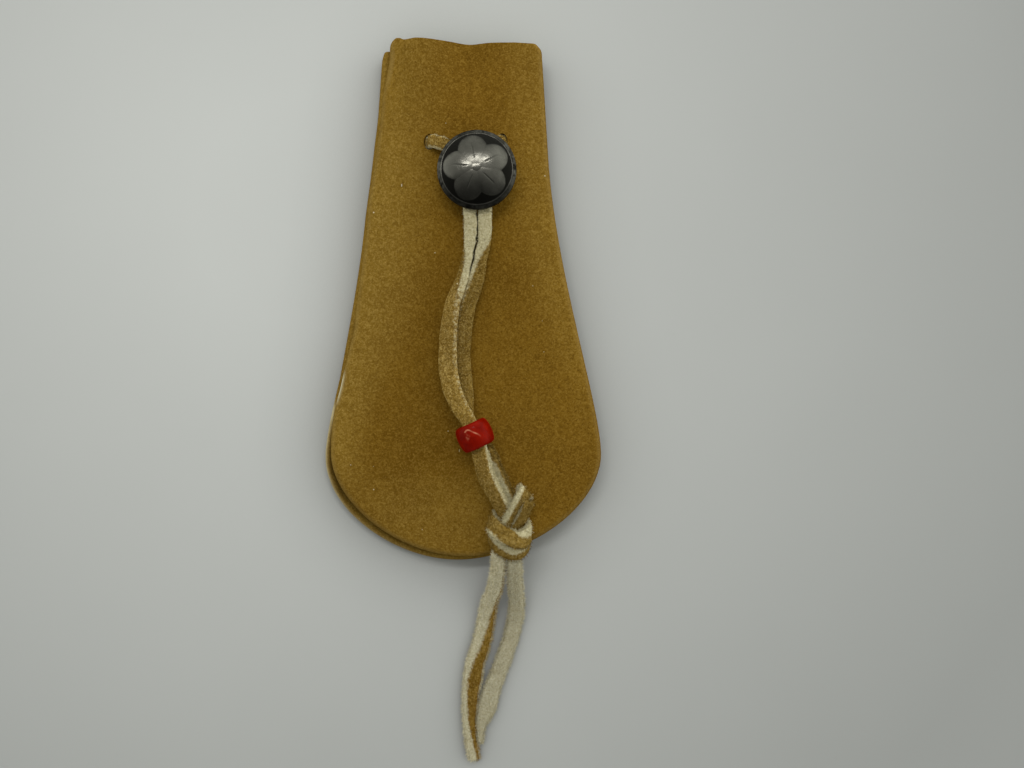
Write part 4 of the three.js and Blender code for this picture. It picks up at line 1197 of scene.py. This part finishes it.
def make_back(hide, flesh):
    surface, normals, turns, lanes = panel_surface(BACK_FLANK_BULGE, BACK_MOUTH_PINCH, BACK_MOUTH_CUTS)
    move_left_edge(surface, BACK_EDGE_MOVES)
    tones = back_tones(surface, turns)
    rim = surface[..., 2] > EDGE_HEIGHT - LEATHER
    flat = np.where(rim, EDGE_HEIGHT - LEATHER / 2, surface[..., 2])
    lift = np.where(rim, back_lift(surface[..., 0] - LEAN_X, surface[..., 1] - LEAN_Y), 0.0)
    surface[..., 2] = 2 * SEAM_HEIGHT - flat + lift
    surface[..., 0] -= LEAN_X
    surface[..., 1] -= LEAN_Y - BACK_MOUTH_RISE * smooth(BACK_MOUTH_START, PANEL_LENGTH, surface[..., 1])
    surface[..., 1] += BACK_BOTTOM_RISE * smooth(20.0, 4.0, surface[..., 1])
    fill_left_groove(surface, turns)
    normals[..., 0] = np.where(rim, 0.0, normals[..., 0])
    normals[..., 2] *= -1.0
    back = add_panel("back_panel", surface, unit(normals), tones, lanes, True, hide, flesh)
    cut_slits(back, BACK_SLITS, BACK_SLIT_LEVELS, flesh)
    return back


# Low relief of the button: a blossom of rounded petals round a small boss, a ring and a pebbled border
def button_relief(radius, angle, rim):
    share = radius / rim
    sector = 2 * np.pi / BUTTON_PETALS
    off = np.mod(angle - PETAL_TURN + sector / 2, sector) - sector / 2
    along, across = share * np.cos(off), share * np.sin(off)
    petal = np.clip(1.0 - ((along - 0.45) / 0.4) ** 2 - (across / 0.37) ** 2, 0.0, 1.0) ** 0.32
    vein = bell(across, 0.0, 0.016) * smooth(0.2, 0.3, along) * smooth(0.66, 0.5, along)
    boss = np.sqrt(np.clip(1.0 - (share / 0.14) ** 2, 0.0, 1.0))
    ring = bell(share, 0.9, 0.013)
    places = np.stack((radius * np.cos(angle), radius * np.sin(angle), np.zeros_like(radius)), axis=1)
    pebbles = 0.5 + 0.5 * soft_noise(places, 0.5, 81)
    band = (0.1 + 0.4 * pebbles) * smooth(0.9, 0.93, share)
    worn = 0.92 + 0.12 * soft_noise(places, 2.2, 82)
    raised = (worn * (0.97 * petal - 0.35 * vein), boss, 0.6 * ring, band)
    return np.clip(np.maximum.reduce(raised), 0.0, 1.0)


# Painted reflection on the button's face: darker towards the bottom and the top, brighter at the left and
# the right, for the room the nickel reflects
def button_painted_reflection(share, angle):
    x, y = share * np.cos(angle), share * np.sin(angle)
    polish = 1.0 - 0.5 * smooth(0.1, -0.55, y) - 0.38 * smooth(0.22, 0.7, y)
    for strength, middle_x, middle_y, spread in BUTTON_PAINTED_GLINTS:
        polish = polish + strength * np.exp(-((x - middle_x) ** 2 + (y - middle_y) ** 2) / spread)
    return polish


# Rows of the button from the middle of its face to that of its hollow: radius, heights, relief and painted
# reflection
def button_rows(rim, height):
    angle = ring_angles(BUTTON_SPOKES)
    even = np.ones(BUTTON_SPOKES)
    sphere = (rim ** 2 + BUTTON_DOME ** 2) / (2 * BUTTON_DOME)
    rows = []
    for radius in np.linspace(0.002, 1.0, BUTTON_RINGS) * (rim - 0.02):
        fall = sphere - math.sqrt(sphere ** 2 - radius ** 2)
        shape = button_relief(radius * even, angle, rim)
        heights = height - RELIEF - fall + RELIEF * shape
        rows.append((radius, heights, shape, button_painted_reflection(radius / rim, angle)))
    edge = (BUTTON_WALL - RELIEF) * 0.75
    for radius, z, shade in ((rim, edge, 0.6), (rim, BUTTON_BEVEL, 0.4), (rim - BUTTON_BEVEL, 0.0, 0.3)):
        rows.append((radius, z * even, shade * even, button_painted_reflection(1.0, angle)))
    hollow = rim - BUTTON_LIP
    sphere = (hollow ** 2 + BUTTON_DOME ** 2) / (2 * BUTTON_DOME)
    for radius in np.linspace(1.0, 0.002, 16) * hollow:
        z = math.sqrt(sphere ** 2 - radius ** 2) - (sphere - BUTTON_DOME)
        rows.append((radius, z * even, 0.25 * even, even))
    return rows


def make_button(nickel):
    low, high = node_box("button_dome")
    centre = (low + high) / 2
    rim = (high[0] - low[0]) / 2 - BUTTON_TRIM
    rows = button_rows(rim, high[2] - low[2])
    radius, z, relief, polish = (np.array(values) for values in zip(*rows))
    angle = ring_angles(BUTTON_SPOKES)
    x = centre[0] + np.outer(radius, np.cos(angle))
    y = centre[1] - BUTTON_DROOP + np.outer(radius, np.sin(angle))
    points = np.stack((x, y, low[2] + z), axis=2).reshape(-1, 3)
    faces = tube_faces(len(rows), BUTTON_SPOKES, flip=True)
    fields = {"relief": relief.ravel(), "polish": polish.ravel()}
    return add_piece(
        "button_relief", points, faces, "button", (nickel,), ("button_dome",), fields=fields)


def round_tube(points, sides, radius, count):
    sides, ups = path_frame(points, sides)
    angle = ring_angles(count)
    rings = points[:, None, :] + radius * (
        np.cos(angle)[None, :, None] * sides[:, None, :] + np.sin(angle)[None, :, None] * ups[:, None, :])
    return rings.reshape(-1, 3), tube_faces(len(points), count)


def make_shank(wire):
    low, high = node_box("button_shank")
    radius = (high[1] - low[1]) / 2
    y = (low[1] + high[1]) / 2
    left, right, base, top = low[0] + radius, high[0] - radius, low[2] + radius, high[2]
    bend = SHANK_BEND
    turn = np.linspace(0.0, np.pi / 2, 9)
    first = [(left + bend - bend * math.cos(t), y, base + bend - bend * math.sin(t)) for t in turn]
    second = [(right - bend + bend * math.sin(t), y, base + bend - bend * math.cos(t)) for t in turn]
    points = np.array([(left, y, top), *first, *second, (right, y, top)])
    sides = np.tile((0.0, 1.0, 0.0), (len(points), 1))
    flat, faces = round_tube(points, sides, radius, SHANK_SIDES)
    return add_piece("shank_loop", flat, faces, "button", (wire,), ("button_shank",))


# Share of painted highlight on the bead's upper side: a broken streak and a spot
def bead_painted_highlight(points):
    line = smooth_route([(x, y, 0.0) for x, y in BEAD_HIGHLIGHT_LINE], 0.05)[:, :2]
    flat = points[:, None, :2]
    away = np.linalg.norm(flat - line[None, :, :], axis=2)
    nearest = away.argmin(axis=1) / len(line)
    broken = 0.75 + 0.5 * soft_noise(points, 0.7, 71)
    streak = bell(away.min(axis=1), 0.0, 0.13) * (1.0 - smooth(0.6, 1.0, nearest)) * broken
    spot_away = np.linalg.norm((points[:, :2] - np.array(BEAD_HIGHLIGHT_SPOT)) * (1.0, 0.6), axis=1)
    spot = 0.5 * bell(spot_away, 0.0, 0.45) * np.clip(soft_noise(points, 0.45, 72) + 0.3, 0.0, 1.0)
    return np.clip(np.maximum(streak, spot), 0.0, 0.7) * (points[:, 2] > 0.0)


# Outline of the bead's wall from one end of its bore to the other: radius and place along it
def bead_profile():
    half, outer, inner = BEAD_LENGTH / 2, BEAD_DIAMETER / 2, BEAD_BORE / 2
    base = inner + 0.3
    profile = [(inner, -half + BEAD_LIP)]
    for turn in np.linspace(0.0, np.pi, BEAD_ROWS):
        profile.append((base + (outer - base) * math.sin(turn) ** 0.68, -half * math.cos(turn)))
    profile.append((inner, half - BEAD_LIP))
    return np.array(profile).T


# Barrel bead with rounded ends and a faint moulding line
def make_bead(red):
    low, high = node_box("bead")
    centre = (low + high) / 2
    radius, along = bead_profile()
    angle = ring_angles(BEAD_SIDES)
    points = np.stack([
        np.outer(radius, np.cos(angle)), np.repeat(along[:, None], BEAD_SIDES, axis=1),
        np.outer(radius, np.sin(angle))], axis=2)
    seam = BEAD_SEAM * bell(np.radians(turn_apart(np.degrees(angle), BEAD_SEAM_TURN)), 0.0, 0.035)
    points[..., ::2] *= (1.0 + seam / (BEAD_DIAMETER / 2))[:, None]
    fields = {"scuff_and_highlight": bead_painted_highlight(points.reshape(-1, 3))}
    turn = math.radians(BEAD_TURN)
    x = points[..., 0] * math.cos(turn) - points[..., 1] * math.sin(turn)
    y = points[..., 0] * math.sin(turn) + points[..., 1] * math.cos(turn)
    flat = np.stack((x, y, points[..., 2]), axis=2).reshape(-1, 3)
    flat = flat + 0.04 * soft_noise(flat, 2.6, 70)[:, None] * unit(flat) + centre
    faces = grid_faces(len(radius), BEAD_SIDES, wrap=True, flip=True)
    last = (len(radius) - 1) * BEAD_SIDES
    for k in range(BEAD_SIDES):
        after = (k + 1) % BEAD_SIDES
        faces.append((k, after, last + after, last + k))
    return add_piece("bead_barrel", flat, faces, "bead", (red,), ("bead",), fields=fields)


def dress_threads(thread):
    for name in ("needle_thread", "bobbin_thread"):
        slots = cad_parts[name].data.materials
        slots.clear()
        slots.append(thread)


def make_floor():
    corners = [(x * FLOOR_HALF, y * FLOOR_HALF, 0) for x, y in ((-1, -1), (1, -1), (1, 1), (-1, 1))]
    mesh = new_mesh("table", corners, [(0, 1, 2, 3)], (make_material("table", floor_paint),))
    new_object("table", mesh)


# Room light that is dimmer overhead, on the left and towards the viewer, and a strip lamp above the mouth
def make_light():
    world = bpy.data.worlds.new("studio")
    world.use_nodes = True
    tree = world.node_tree
    way = node(tree, "SeparateXYZ", {"Vector": node(tree, "TexCoord").outputs["Generated"]}).outputs
    strength = remap(tree, way["Y"], -0.5, 0.0, 0.55, 1.82)
    strength = times(tree, strength, remap(tree, way["X"], -0.5, 0.5, 0.76, 1.24))
    strength = times(tree, strength, remap(tree, way["Z"], 0.3, 0.85, 1.0, 0.3))
    background = tree.nodes["Background"]
    background.inputs["Color"].default_value = ROOM_TINT
    put(tree, background.inputs["Strength"], strength)
    bpy.context.scene.world = world
    lamp = bpy.data.lights.new("strip", "AREA")
    lamp.shape = "RECTANGLE"
    lamp.size, lamp.size_y = LAMP_SIZE
    lamp.energy = LAMP_POWER
    light = new_object("strip", lamp)
    light.location = LAMP_PLACE
    light.rotation_euler = (-Vector(LAMP_PLACE)).to_track_quat("-Z", "Y").to_euler()


make_camera()
LACE = make_material("lace_hide", lace_paint, LACE_TONES, FLESH_DARK, FLESH_PALE)
TAIL = make_material("lace_tail", lace_paint, TAIL_TONES, TAIL_FLESH_DARK, TAIL_FLESH_PALE)
for strand in STRANDS:
    make_strand(strand, TAIL if strand.far_end == "bare" else LACE)
make_back_lace(LACE)
make_knot(LACE)
HIDE = make_material("hide_nap", hide_paint)
FLESH = make_material("hide_flesh", flesh_paint)
make_front(HIDE, FLESH, make_material("slit_painted_shade", slit_shade_paint))
make_back(HIDE, FLESH)
make_button(make_material("dark_nickel", nickel_paint))
make_shank(make_material("shank_wire", wire_paint))
make_bead(make_material("bead_red", bead_paint))
dress_threads(make_material("seam_thread", thread_paint))
make_floor()
make_light()
bpy.context.scene.view_settings.view_transform = "Standard"
